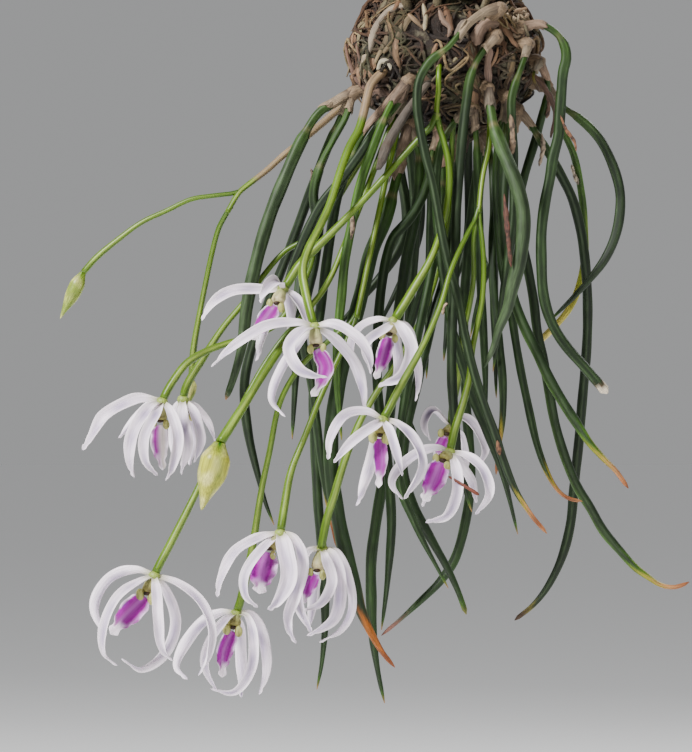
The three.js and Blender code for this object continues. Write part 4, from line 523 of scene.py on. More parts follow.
# by bloom: the heart as [x, y, drop], where tepals, lip and column meet; for each tepal the width and
# the path from the heart; and the same for the lip
BLOOMS = {
    "f1": ([-48.6, -34, 87], [
        (3.4, [[-6.3, -2, -0.3], [-14.4, -4, -0.6], [-20.4, -5, -3.9], [-24, -4, -9.3]]),
        (3.8, [[-1.8, -6, 2.1], [-4.8, -12, 0], [-6.3, -14, -4.2]]),
        (3.4, [[2.7, 0, -2.1], [5.7, 0, -6.9], [7.8, -1, -12.9]]),
        (3.2, [[-1.2, 5, -3.6], [-5.1, 9, -11.4], [-8.1, 5, -21.3]]),
        (3.4, [[1.5, 6, -3], [2.7, 11, -10.8], [0.6, 8, -18.6]]),
    ], (5.4, [[-2.1, -4, -5.1], [-5.1, -6, -9.3], [-9, -5, -15]])),
    "f2": ([-39, -58, 98.4], [
        (3.4, [[-5.1, -2, 0.9], [-14.1, -5, -0.3], [-23.1, -6, -5.7], [-30.3, -5, -11.7]]),
        (3.6, [[-3.9, -6, -1.8], [-7.2, -10, -6.6], [-3.9, -11, -12.6], [3.9, -9, -14.7]]),
        (3.2, [[-3.9, 5, -4.5], [-9.6, 9, -12.9], [-12.3, 8, -21], [-8.7, 4, -26.4]]),
        (3.6, [[5.1, -2, 0.3], [11.1, -4, -2.7], [15.3, -5, -7.8], [16.5, -4, -13.8]]),
        (4.0, [[5.1, 4, -3.6], [10.8, 7, -10.2], [13.8, 7, -18], [14.7, 4, -24.9]]),
    ], (5.0, [[0.6, -3, -6.6], [3.3, -4, -12], [1.2, -5, -17.4], [-0.9, -4, -20.4]])),
    "f3": ([-15.6, -34, 96.6], [
        (3.0, [[-4.5, -1, 0.3], [-9.9, -2, -2.4], [-12.3, -3, -9], [-9, -2, -17.1]]),
        (2.8, [[-2.4, -5, -2.4], [-8.1, -10, -6.9], [-7.2, -9, -14.4]]),
        (4.0, [[2.4, -5, -2.4], [5.1, -8, -9], [2.7, -9, -15.6], [-4.5, -7, -19.5]]),
        (3.0, [[3.6, 3, -1.5], [6, 5, -9], [7.2, 5, -16.8], [6.6, 3, -23.7]]),
        (3.2, [[0.3, 6, -3.9], [1.5, 10, -11.4], [0.6, 8, -18.6]]),
    ], (4.8, [[-1.5, -3, -4.8], [-3, -5, -10.8], [-5.4, -4, -17.1]])),
    "f4": ([-18.9, -56, 126], [
        (3.4, [[-4.8, -1, 2.1], [-10.8, -3, 0.9], [-14.7, -4, -5.1], [-16.2, -3, -11.4]]),
        (3.2, [[-2.4, -5, -1.8], [-8.4, -9, -6], [-14.4, -9, -12.3]]),
        (3.8, [[4.2, 0, -1.2], [9, 0, -6.3], [11.1, 0, -13.2], [6.3, -1, -23.1]]),
        (2.8, [[1.8, -6, -3], [3.6, -10, -8.4], [5.7, -9, -16.2]]),
        (3.8, [[-1.5, 5, -5.4], [-3.9, 9, -15], [-7.8, 7, -25.2]]),
    ], (4.4, [[-0.9, -3, -5.4], [-0.6, -5, -12.3], [-1.2, -4, -19.8]])),
    "f5": ([1.2, -36, 135.6], [
        (3.4, [[-3.9, -2, 0.9], [-11.1, -5, -1.8], [-16.8, -6, -8.4], [-14.1, -4, -13.8]]),
        (3.6, [[4.5, -2, -1.2], [9.6, -4, -5.7], [11.1, -5, -12.3], [7.5, -4, -18.3]]),
        (3.0, [[2.7, 5, -3.3], [6.3, 8, -8.7], [8.1, 6, -15]]),
        (3.4, [[1.8, -5, -4.8], [2.1, -9, -12], [-0.9, -8, -18.6], [-7.2, -6, -20.7]]),
        (3.2, [[-2.4, 5, -3.3], [-5.7, 8, -10.5], [-8.1, 6, -16.2]]),
    ], (6.4, [[-2.7, -4, -3], [-4.8, -6, -8.4], [-7.8, -5, -14.4]])),
    "f6a": ([-84.9, -22, 120.6], [
        (4.2, [[-7.2, -1, 0.3], [-16.2, -2, -4.2], [-21, -2, -10.8], [-23.7, -2, -14.4]]),
        (2.6, [[-4.2, 6, -1.5], [-8.4, 9, -5.7], [-13.2, 7, -10.8]]),
        (4.0, [[-3.6, -5, -2.4], [-7.8, -9, -9.3], [-9, -9, -16.2], [-8.1, -6, -22.5]]),
        (3.2, [[-1.5, -7, -3.6], [-4.8, -11, -10.8], [-4.5, -11, -17.4], [-1.2, -8, -21.9]]),
        (3.4, [[2.4, -4, -3], [4.8, -8, -10.8], [3.6, -8, -18], [1.2, -5, -23.4]]),
    ], (4.4, [[-0.6, 0, -6.9], [-0.6, -1, -13.2], [0.3, -1, -20.4]])),
    "f6b": ([-78.9, -6, 120], [
        (3.4, [[0, -6, -4.8], [1.5, -9, -13.2], [-0.3, -7, -22.5]]),
        (3.6, [[2.7, -2, -3.6], [4.8, -3, -12], [3.3, -3, -18.9]]),
        (2.4, [[4.2, 3, -3], [7.5, 5, -7.5], [9.6, 4, -12.6]]),
        (3.4, [[-1.8, 6, -3.6], [-3, 11, -11.4], [-2.1, 8, -19.2]]),
        (3.4, [[2.4, 7, -3.6], [3, 11, -11.4], [1.8, 8, -19.8]]),
    ], (4.0, [[0.6, 0, -5.4], [0.3, 1, -10.8], [0, 0, -16.8]])),
    "f7": ([-86.7, -44, 172.2], [
        (3.8, [[-5.4, 1, 1.2], [-13.2, 3, -1.8], [-17.1, 4, -9.6], [-14.4, 3, -18]]),
        (3.2, [[-4.2, -4, -1.8], [-10.8, -7, -6.9], [-14.4, -8, -15.6], [-14.4, -6, -22.8],
            [-10.8, -4, -26.4]]),
        (3.2, [[0.9, -7, -5.4], [1.5, -11, -13.2], [2.4, -11, -20.4], [6, -9, -24.9]]),
        (3.4, [[3.3, 6, -4.8], [6, 10, -14.4], [3, 8, -22.8], [-3.9, 4, -27.6], [-9.6, 1, -24.6]]),
        (3.4, [[6.6, 0, -2.4], [13.2, 0, -7.8], [16.5, 0, -15.6], [15.9, -1, -23.4], [13.2, -2, -29.4]]),
    ], (6.8, [[-2.4, -2, -6.3], [-7.5, -3, -11.4], [-12.9, -3, -17.1]])),
    "f8": ([-62.7, -20, 184.2], [
        (4.0, [[-4.2, 3, 0], [-10.8, 8, -4.2], [-15.6, 10, -10.8], [-17.7, 9, -16.2], [-14.7, 7, -19.8]]),
        (3.0, [[-3, -5, -2.1], [-7.5, -8, -8.7], [-8.7, -8, -15.3], [-5.7, -5, -22.8]]),
        (3.2, [[3.3, -2, -0.9], [5.1, -6, -8.7], [4.2, -7, -16.5], [-0.3, -6, -22.8], [-7.5, -5, -22.2]]),
        (3.8, [[4.2, 3, -0.6], [7.5, 5, -7.8], [8.4, 4, -17.4], [6.9, 3, -24.3]]),
        (3.6, [[0.9, 5, -5.4], [1.2, 9, -13.2], [1.5, 8, -19.8], [1.5, 6, -25.2]]),
    ], (5.2, [[-0.9, -3, -5.1], [-3.3, -4, -11.4], [-4.2, -3, -18.9]])),
    "f9": ([-49.2, -46, 159.6], [
        (3.6, [[-5.7, -2, -1.5], [-12.9, -4, -5.7], [-17.4, -5, -13.8], [-18.6, -4, -18.6]]),
        (3.2, [[-5.1, -5, -4.8], [-9.9, -8, -11.7], [-9.9, -8, -18], [-6.6, -6, -21.6]]),
        (5.0, [[1.5, -7, -4.8], [2.7, -10, -12.6], [0.3, -10, -18.3], [-3.6, -8, -22.2]]),
        (4.0, [[3.9, -2, -1.8], [6, -3, -9], [3.9, -3, -17.4], [1.8, -2, -24.9], [4.8, -1, -32.4]]),
        (3.4, [[1.2, 5, -4.2], [2.7, 9, -12], [4.5, 8, -19.8], [6.9, 5, -25.8]]),
    ], (7.2, [[-3.9, -2, -5.4], [-5.4, -3, -11.7], [-6.3, -2, -17.7]])),
    "f10": ([-36.9, -22, 164.7], [
        (3.8, [[-3.9, -2, -1.2], [-6.3, -4, -7.5], [-6.3, -5, -16.2], [-3.3, -3, -24.9]]),
        (3.2, [[1.5, -6, -3.9], [3, -10, -9.9], [0, -10, -15.6], [-5.7, -8, -18.6]]),
        (4.0, [[3.3, -3, -2.1], [5.1, -5, -11.7], [3.3, -5, -20.4], [-4.5, -2, -25.8]]),
        (3.2, [[4.5, 1, -1.2], [7.5, 2, -9.3], [8.4, 2, -18], [5.1, 1, -24.3], [-0.9, 0, -27.9]]),
        (3.4, [[-0.6, 6, -4.2], [-2.1, 10, -11.7], [-3, 9, -18.9], [-3.9, 6, -24.3]]),
    ], (4.2, [[-1.8, -3, -7.5], [-3.9, -4, -11.7], [-5.7, -3, -16.2]])),
    "f11": ([2.1, -10, 128.4], [
        (3.0, [[-2.7, -1, 2.4], [-5.7, -2, 4.8], [-7.8, -3, 1.2], [-6.3, -3, -3.9]]),
        (3.4, [[3.3, -1, 2.7], [7.5, -2, -1.2], [9.6, -3, -6.6], [7.8, -2, -11.7]]),
        (3.2, [[-1.8, 5, -3.6], [-3.9, 9, -10.2], [-2.7, 7, -16.2]]),
        (3.2, [[2.4, 6, -3], [3.9, 10, -9.6], [3, 7, -16.8]]),
        (3.0, [[1.5, -4, -4.5], [1.2, -7, -10.5], [1.2, -5, -16.5]]),
    ], (4.0, [[-1.8, -3, -2.7], [-3.3, -4, -5.7], [-4.5, -3, -9.3]])),
}
# by bud: its tip as [x, y, drop], and its radius
BUDS = {"bud1": ([-116, -6, 95.5], 2.3), "bud2": ([-72.5, -51, 152.5], 4.5), "ov": ([-77.5, 7, 122], 1.8)}
# old stalks on the root mass: the radius, and the path as [x, y, drop]
DRY_STALKS = [
    (0.8, [[-18, -12, 27], [-24.5, -8, 26], [-29, -5, 17], [-30, -5, 12.5]]),
    (0.7, [[-17, -14, 26], [-24, -11, 22], [-26.5, -10, 12.5]]),
    (1.5, [[7, -20, 8], [6, -25, 7], [4.5, -28.5, 9], [4, -29, 13]]),
    (1.6, [[-5, -22, 25], [-11, -30, 33], [-16.5, -31, 42], [-20, -31, 51]]),
    (1.0, [[18, -7, 17], [24, -8, 20], [31, -9, 27], [33.5, -9, 34], [32, -9, 41]]),
]
# the root mass is a lumpy ball of these half measures, and a strand has a point every STEP
BALL_CENTRE = np.array([0, 0, -184.0])
BALL_RADII = np.array([27.5, 25, 24.0])
STEP = 2.5
# the least gap between strands, and the room kept round the middle of a tepal; strands of one stem may
# touch within NEAR_FORK of their ends, and a push fades over the last FADE
CLEARANCE = 1.3
TEPAL_BERTH = 1.9
NEAR_FORK = 14
FADE = 10
RHIZOME_RADIUS = 2.6
SHEATH_RADIUS = 1.75
SHEATH_LENGTH = 9
TAPER = 34


def smooth(low, high, s):
    """0 below low, 1 above high, and t * t * (3 - 2 t) between."""
    t = np.clip((s - low) / (high - low), 0, 1)
    return t * t * (3 - 2 * t)


def along(line):
    """The share of the way, 0 to 1, at each point of an evenly stepped line."""
    return np.linspace(0, 1, len(line))


def random_draw(seed):
    """Draws from 0 to 1: the state is multiplied by 16807 and kept below 2 ** 31 - 1 each time."""
    state = seed
    while True:
        state = state * 16807 % (2 ** 31 - 1)
        yield state / (2 ** 31 - 1)


def bowed(y0, y1, y2):
    """Depth that runs through y at the start, halfway and at the tip, as one parabola."""
    return lambda t: 2 * y0 * (t - 0.5) * (t - 1) - 4 * y1 * t * (t - 1) + 2 * y2 * t * (t - 0.5)


def straight(start, end):
    """A value that runs evenly from start to end."""
    return lambda t: start + (end - start) * t


def leaf_radius(radius):
    """The sheath's radius at the foot, then a slow swelling, and a taper to the tip."""
    def at(s, length):
        grown = 0.62 + 0.38 * smooth(SHEATH_LENGTH, 3 * SHEATH_LENGTH, s)
        body = radius * grown * (1 - 0.66 * smooth(length - TAPER, length, s))
        return np.where(s < SHEATH_LENGTH, SHEATH_RADIUS, body)
    return at


def stalk_radius(start, end):
    """A radius that runs evenly from start to end of a stalk of any length."""
    return lambda s, length: straight(start, end)(s / length)


def strand(node, path, deep, radius, pinned):
    """One leaf or stalk as a line with a radius at each point; pinned says which ends are held."""
    flat = line_through(path, STEP)
    t = along(flat)
    length = reach_of(flat)[-1]
    return {"node": node, "pinned": pinned, "x": flat[:, 0], "z": PLANT_TOP - flat[:, 1],
            "y": deep(t) + 0 * t, "r": radius(t * length, length) + 0 * t}


def obstacle(node, points, radius):
    """A line of balls of one radius, which stays put while the strands keep clear of it."""
    x, y, z = points.T
    return {"node": node, "x": x, "y": y, "z": z, "r": np.full(len(points), radius)}


def inside_ball(x, z):
    """1 - (x / a) ** 2 - (z / c) ** 2 in the root mass's own measure; below 0 it is outside."""
    return 1 - (x / BALL_RADII[0]) ** 2 - ((z - BALL_CENTRE[2]) / BALL_RADII[2]) ** 2


def on_ball(x, drop, side, stand):
    """The point of the root mass with that x and drop, on its front (-1) or back (1)."""
    z = PLANT_TOP - drop
    return [x, side * (BALL_RADII[1] * math.sqrt(max(inside_ball(x, z), 0)) + stand), z]


def settle(strands, obstacles, turns=300):
    """Depths at which no two strands meet. Points closer in the flat view than their radii and the
    clearance are pushed apart in y, each strand on its own side of the other; a push spreads along
    its strand, fades at the pinned ends, and no point may enter the root mass."""
    pieces = strands + obstacles
    sizes = [len(piece["x"]) for piece in pieces]
    owner = np.repeat(np.arange(len(pieces)), sizes)
    spot = np.concatenate([np.arange(n) for n in sizes])
    size = np.repeat(sizes, sizes)
    x, start, z, r = (np.concatenate([piece[key] for piece in pieces]) for key in ("x", "y", "z", "r"))
    names = {name: k for k, name in enumerate(dict.fromkeys(piece["node"] for piece in pieces))}
    node = np.repeat([names[piece["node"]] for piece in pieces], sizes)
    pins = np.repeat([piece.get("pinned", (True, True)) for piece in pieces], sizes, axis=0)
    front = np.repeat([piece["y"][0] < 0 for piece in pieces], sizes)
    end = np.minimum(spot, size - 1 - spot) * STEP
    fixed = (owner >= len(strands)) | ((spot == 0) & pins[:, 0]) | ((spot == size - 1) & pins[:, 1])
    # strands keep 4 % and 0.8 mm off the even surface of the root mass, which has lumps
    left = inside_ball(x, z)
    limit = np.where(left > 0.02, 1.04 * BALL_RADII[1] * np.sqrt(np.maximum(left, 0)) + r + 0.8, -np.inf)
    apart = (x[:, None] - x) ** 2 + (z[:, None] - z) ** 2
    reach = r[:, None] + r + CLEARANCE
    near = (apart < reach ** 2) & (owner[:, None] < owner) & ~(fixed[:, None] & fixed)
    near &= ~((node[:, None] == node) & (np.minimum(end[:, None], end) < NEAR_FORK))
    a, b = np.nonzero(near)
    need = np.sqrt(reach[a, b] ** 2 - apart[a, b])
    pair = np.unique(owner[a] * len(pieces) + owner[b], return_inverse=True)[1]
    side = np.where(np.bincount(pair, start[a] - start[b]) < 0, -1, 1)[pair]
    share = np.where(fixed[a] | fixed[b], 1, 0.5)
    count = len(x)
    before = np.arange(count) - (spot > 0)
    after = np.arange(count) + (spot < size - 1)
    fade = smooth(0, FADE, end + STEP)
    depth = start.copy()
    for turn in range(turns):
        short = need - side * (depth[a] - depth[b])
        hit = short > 0
        moves = side[hit] * short[hit] * share[hit]
        push = np.bincount(a[hit], moves, count) - np.bincount(b[hit], moves, count)
        hits = np.bincount(a[hit], minlength=count) + np.bincount(b[hit], minlength=count)
        spread = 0.5 * (1 - turn / turns)
        moved = np.where(fixed, 0, depth - start + 0.8 * push / np.maximum(1, hits))
        eased = fade * (moved * (1 - spread) + (moved[before] + moved[after]) / 2 * spread)
        kept = np.where(front, np.minimum(start + eased, -limit), np.maximum(start + eased, limit))
        depth = np.where(fixed, depth, kept)
    for piece, y in zip(strands, np.split(depth, np.cumsum(sizes)[:-1])):
        piece["points"] = np.column_stack([piece["x"], y, piece["z"]])


def from_top(point):
    """The point whose last number is a drop below the foot of the pot."""
    return np.array([*point[:2], PLANT_TOP - point[2]], float)


def petal_line(heart, path, step=1.0):
    """The line of a tepal or a lip, whose path is measured from the heart."""
    return line_through(from_top(heart) + path, step)


leaf_strands = [[strand("leafy_stem_" + name, [[fork[0], fork[2]], *path], bowed(fork[1], *deep),
    leaf_radius(radius), (True, False)) for radius, deep, _, path in leaves]
    for name, (fork, leaves) in LEAFY_STEMS.items()]
stalk_strands = [[strand("flower_stem_" + name, path, straight(*deep), stalk_radius(*radius),
    (True, True)) for radius, deep, _, path in strands] for name, strands in FLOWER_STEMS.items()]

# younger leaves on the far side, drawn by rule along a rhizome on the back of the root mass
draw = random_draw(41)
BACK_NODE = "leafy_stem_back"
BACK_FROM, BACK_TO, BACK_LEAVES, BACK_DROP = -20.5, 21, 8, 24
back_strands = []
for k in range(BACK_LEAVES):
    back_x = BACK_FROM + (BACK_TO - BACK_FROM) * (k + 0.5) / BACK_LEAVES
    back_y = on_ball(back_x, BACK_DROP, 1, 1.5)[1]
    tip_x = 1.1 * back_x + 16 * (next(draw) - 0.5) - 6
    tip_drop = 84 + 40 * next(draw)
    belly = 0.8 * back_x + 5 * (next(draw) - 0.5)
    depths = bowed(back_y, back_y + 6 + 12 * next(draw), back_y + 10 * next(draw))
    back_path = [[back_x, BACK_DROP], [0.4 * back_x + 0.6 * belly, 44], [belly, 70], [tip_x, tip_drop]]
    thick = leaf_radius(1.3 + 0.3 * next(draw))
    back_strands.append(strand(BACK_NODE, back_path, depths, thick, (True, False)))

# the node that carries each bloom or bud, and the [x, y, drop] at which its strand ends
carriers = {ends: ("flower_stem_" + name, [path[-1][0], deep[1], path[-1][1]])
    for name, strands in FLOWER_STEMS.items() for _, deep, ends, path in strands if ends}
obstacles = []
for name, (heart, tepals, (breadth, lip_path)) in BLOOMS.items():
    for _, path in tepals:
        line = resample(petal_line(heart, [[0, 0, 0], *path]), 12)
        obstacles.append(obstacle(carriers[name][0], line, TEPAL_BERTH))
    line = resample(petal_line(heart, lip_path), 6)
    obstacles.append(obstacle(carriers[name][0], line, breadth / 2 - 0.4))
bud_lines = {}
for name, (tip, radius) in BUDS.items():
    bud_lines[name] = resample([from_top(carriers[name][1]), from_top(tip)], 8)
    obstacles.append(obstacle(carriers[name][0], bud_lines[name], radius))
dry_lines = []
for radius, path in DRY_STALKS:
    dry_lines.append(resample(line_through([from_top(point) for point in path], 2), 4))
    obstacles.append(obstacle("root_mass", resample(dry_lines[-1], 10), radius))

settle([one for stem in leaf_strands + stalk_strands + [back_strands] for one in stem], obstacles)
for first, *branches in stalk_strands:
    for branch in branches:
        far = np.linalg.norm(first["points"] - branch["points"][0], axis=1)
        branch["points"][0] = first["points"][min(int(far.argmin()), len(far) - 2)]


def eased_line(points, step):
    """The strand's line with its depth averaged with its neighbours', four times over."""
    points = points.copy()
    for _ in range(4):
        points[1:-1, 1] = (points[:-2, 1] + 2 * points[1:-1, 1] + points[2:, 1]) / 4
    return line_through(points, step)


def mixed(low, high, share):
    """A blend of two linear colours, share 0 to 1 at every point."""
    return low + (high - low) * np.asarray(share)[..., None]


def ripple(points, size, seed):
    """A smooth bumpy field, mostly between -1 and 1: a quarter of the sum of eight sine waves in
    seeded directions, whose wavelengths are about size."""
    rng = np.random.default_rng(seed)
    ways = unit(rng.normal(size=(8, 3))) * rng.uniform(0.7, 1.4, (8, 1)) * 2 * math.pi / size
    return np.sin(points @ ways.T + rng.uniform(0, 6.3, 8)).sum(-1) / 4


def rounded(x, least=0):
    """sqrt(x) between least and 1: the radius that closes an end like a dome."""
    return np.sqrt(np.clip(x, least, 1))


def painted(name):
    """A material whose points bring their own tone, and their place in the pattern, the grain."""
    material = new_material(name)
    tone = add_node(material, "Attribute", attribute_name="tone")
    grain = add_node(material, "Attribute", attribute_name="grain").outputs["Vector"]
    return material, tone, grain


def streaks(material, grain, scale, detail, roughness=0.5):
    """A noise in the grain, drawn out by the scale, which counts its streaks to the mm each way."""
    drawn_out = add_node(material, "Mapping", {"Vector": grain, "Scale": scale})
    return add_node(material, "TexNoise",
        {"Vector": drawn_out, "Scale": 1, "Detail": detail, "Roughness": roughness})


# Living leaf under a waxy skin: dark green with a grey cast and a soft gloss along its ridges;
# leaf wax has an IOR of about 1.45. The tone attribute holds each leaf's own green and its dry tip,
# and painted highlights on its ridges and painted shade in its groove.
leaf_finish, leaf_tone, leaf_grain = painted("waxy_leaf")
# fibres 0.4 mm apart, drawn out along the leaf
fibre = streaks(leaf_finish, leaf_grain, (2.4, 2.4, 0.2), 4, 0.6)
mottle = add_node(leaf_finish, "TexNoise", {"Vector": leaf_grain, "Scale": 0.16, "Detail": 4})
fibre_light = add_node(leaf_finish, "MapRange", [fibre, 0.32, 0.68, 0.6, 1.45])
mottle_light = add_node(leaf_finish, "MapRange", [mottle, 0.3, 0.7, 0.7, 1.3])
leaf_light = add_node(leaf_finish, "Math", [fibre_light, mottle_light], operation="MULTIPLY")
leaf_colour = add_node(leaf_finish, "VectorMath", {0: leaf_tone, "Scale": leaf_light}, operation="SCALE")
leaf_gloss = add_node(leaf_finish, "MapRange", [mottle, 0, 1, 0.42, 0.66])
coat(leaf_finish, leaf_colour, leaf_gloss, fibre, 0.2, 0.1, {"IOR": 1.45, "Specular IOR Level": 0.3})

# Dead papery sheath: thin, matt and streaked, beige with a pink cast
paper_finish, paper_tone, paper_grain = painted("papery_sheath")
vein = streaks(paper_finish, paper_grain, (2.4, 2.4, 0.14), 5, 0.65)
blotch = add_node(paper_finish, "TexNoise", {"Vector": paper_grain, "Scale": 0.35, "Detail": 4})
streaked = shaded(paper_finish, paper_tone, vein, 0.32, 0.68, 0.5, 1.3)
coat(paper_finish, overlaid(paper_finish, streaked, blotch, 0.5, 0.7, 0.55, "#3a291b"), 0.8, vein, 0.8, 0.4)

LEAF_SIDES = 18
leaf_angle = circle(LEAF_SIDES)


def about(centre, width):
    """A bell round the leaf's section, exp(-(a / width) ** 2), centred on an angle."""
    turned = (leaf_angle - centre + math.pi) % (2 * math.pi) - math.pi
    return np.exp(-(turned / width) ** 2)


def colours(codes):
    """The linear light of each sRGB hex colour in a row of them."""
    return [linear(code) for code in codes.split()]


DARK, MID, PALE = colours("#081403 #172d09 #414f36")
FRESH, GOLD, TAN_TIP, RUST = colours("#34540c #786f1d #8e613c #774020")
ORANGE, UMBER, ROSY, BONE = colours("#97530c #3a2919 #734d41 #cbbda6")
SMOKE, STRAW, COLLAR_BROWN = colours("#353924 #a39a34 #63583c")
# each kind of tip: the length of its dried end in mm, the colours that it runs through to the point,
# the share of the radius left there, and the length over which the end closes
TIPS = {
    "green": (5, [MID, FRESH, TAN_TIP], 0.36, 5),
    "pale": (5, [MID, MID, PALE, TAN_TIP], 0.5, 2.2),
    "brown": (10, [MID, GOLD * 0.5, UMBER, UMBER], 0.5, 1.6),
    "tan": (19, [MID, GOLD, TAN_TIP, RUST, TAN_TIP], 0.48, 2.2),
    "orange": (29, [MID, SMOKE, ORANGE, ORANGE, RUST, RUST], 0.33, 3),
    "gold": (27, [MID, FRESH, GOLD, TAN_TIP, RUST], 0.48, 2.2),
    "pink": (17, [MID, PALE, ROSY, ROSY], 0.4, 3),
    "lime": (7, [FRESH, FRESH, GOLD], 0.4, 5),
    "grey": (8, [PALE, PALE, MID], 0.36, 5),
    "cut": (5, [MID, UMBER, BONE, BONE, BONE], 0.95, 0.7),
    "yellow": (46, [FRESH, linear("#7a8424"), STRAW, linear("#c9b765")], 0.9, 0.7),
    "blunt": (7, [MID, mixed(MID, FRESH, 0.6), GOLD * 0.6], 0.55, 1.8),
}
BODY_TONES = {"lime": FRESH, "grey": mixed(MID, PALE, 0.5), "yellow": FRESH, "pale": mixed(MID, PALE, 0.45)}
leaf_rng = np.random.default_rng(7)


def leaf_skins(points, radius, tip, sheath, neck=0):
    """A leaf and its sheath along a line. A slender neck carries the leaf from its sheath to a collar,
    where the leaf widens at once; from there the section is round with a groove, and the radius is
    R * (1 - (1 - e) * smooth over the taper), with e the share left at the tip."""
    line = eased_line(points, 1.5)
    length = reach_of(line)[-1]
    s = along(line) * length
    dry, stops, share, closing = TIPS[tip]
    collar = neck or sheath + leaf_rng.uniform(1, 6)
    grown = 0.64 + 0.3 * smooth(collar, collar + 1.6, s) + 0.06 * smooth(collar, collar + 22, s)
    bead = 0.12 * np.exp(-((s - collar) / 0.7) ** 2)
    r = radius * (grown + bead) * (1 - (1 - share) * smooth(length - TAPER, length, s))
    r = r * rounded((length - s) / closing, 0.03) * (1 + 0.03 * np.sin(s / 2.3 + leaf_rng.uniform(0, 6)))
    # a slender tip that has dried over more than 9 mm is shrunken and angular
    shrunk = smooth(length - 0.8 * dry, length - 0.3 * dry, s) * (dry > 9) * (share < 0.8)
    groove = about(0.1, 0.3)
    ridges = about(-0.5, 0.2) + about(0.7, 0.2)
    shape = 1.02 - 0.2 * groove - 0.07 * about(2.4, 0.35) - 0.07 * about(4.1, 0.35)
    shape = shape - (0.16 * shrunk)[:, None] * (1 + np.sin(5 * leaf_angle + 0.3 * s[:, None]))
    leaf = tube(line, r, LEAF_SIDES, side=(leaf_rng.uniform(-1.1, 1.1), -1, 0.1), shape=shape)
    own = BODY_TONES.get(tip, mixed(DARK, MID, leaf_rng.uniform(0, 1.15)))
    # painted highlights: pale lines along the two ridges beside the groove; painted shade: a darker groove
    tone = mixed(mixed(own, PALE, 0.45 * ridges), DARK, 0.7 * groove)
    tone = mixed(tone, DARK, 0.35 * smooth(-0.2, 1, ripple(leaf["grain"] * [1, 1, 0.16], 3.5, 2)))
    tone = mixed(tone, FRESH, 0.35 * (1 - smooth(collar, collar + 14, s))[:, None])
    tone = mixed(tone, COLLAR_BROWN, 0.7 * np.exp(-((s - collar + 0.5) / 0.6) ** 2)[:, None])
    if tip == "gold":
        # lime along its left side, more so towards the tip
        tone = mixed(tone, FRESH, 0.75 * about(1.3, 0.9) * smooth(0.2, 0.8, s / length)[:, None])
    edge = dry * (0.9 + 0.18 * np.sin(3 * leaf_angle + 2 + s[:, None] / 3))
    down = np.clip((s[:, None] - (length - edge)) / edge, 0, 1)
    dried = np.stack([np.interp(down, along(stops), channel) for channel in np.transpose(stops)], -1)
    leaf["tone"] = mixed(tone, dried, smooth(0, 0.2, down))
    offset = leaf_rng.uniform(0, 60, 3)
    leaf["grain"] = leaf["grain"] + offset
    return [leaf, sheath_skin(line, s, radius, sheath, offset)]


def sheath_skin(line, s, radius, sheath, offset):
    """The dead sheath round a leaf's neck: a sleeve that clings to it, with a mouth torn slantwise."""
    sleeve = resample(line[s <= max(sheath, 4)], max(6, int(sheath / 0.7)))
    t = along(sleeve)
    foot = SHEATH_RADIUS - 0.2 + 0.3 * np.exp(-t * 6)
    mouth = 0.64 * radius + 0.32 + 0.3 * leaf_rng.uniform() * smooth(0.7, 1, t)
    wide = foot + (mouth - foot) * smooth(0.1, 0.6, t)
    ragged = (1 + 0.07 * np.sin(4 * leaf_angle + 7 * t[:, None] + offset[0])
              + 0.05 * np.sin(7 * leaf_angle + offset[1]))
    skin = tube(sleeve, wide, LEAF_SIDES, shape=ragged, finish=1)
    torn = 0.5 + 0.5 * np.cos(leaf_angle - offset[1]) + 0.3 * np.sin(5 * leaf_angle + offset[2])
    pull = smooth(0.6, 1, t)[:, None] * torn * 0.25 * sheath
    skin["rings"] -= frames(sleeve, SIDE)[0][:, None] * pull[..., None]
    paper = mixed(linear("#544a3c"), linear("#816351"), leaf_rng.uniform(0, 1))
    paper = mixed(paper, linear("#897d63"), leaf_rng.uniform(0, 0.7))
    skin["tone"] = mixed(paper, linear("#3b2b1e"), 0.85 * (1 - smooth(0, 0.45, t))[:, None])
    skin["grain"] = skin["grain"] + offset
    return skin


def rhizome_skin(route):
    """A creeping stem wrapped in old sheaths: a tube with a ridge every 3 mm."""
    line = resample(route, max(6, 3 * len(route)))
    s = reach_of(line)
    ends = rounded(np.minimum(s + 0.3, s[-1] - s + 0.3) / 1.6)
    ringed = (RHIZOME_RADIUS - 0.4) * ends * (1 + 0.1 * np.sin(2 * math.pi * s / 3))
    skin = tube(line, ringed, 14, tone=linear("#715d46"), finish=1)
    skin["rings"] += 0.25 * ripple(skin["rings"], 3, 14)[..., None]
    return skin


# by stem and leaf, the length of a dead sheath that isn't 8 mm long, and of a neck that is long
SHEATHS = {
    ("left_edge", 0): (12, 19), ("left_edge", 1): (7, 24), ("left_fan", 1): (16, 0),
    ("left_fan", 2): (25, 0), ("front_arch", 0): (20, 0), ("broad", 0): (19, 0), ("sheathed", 0): (7, 0),
    ("elbow", 1): (14, 0),
}
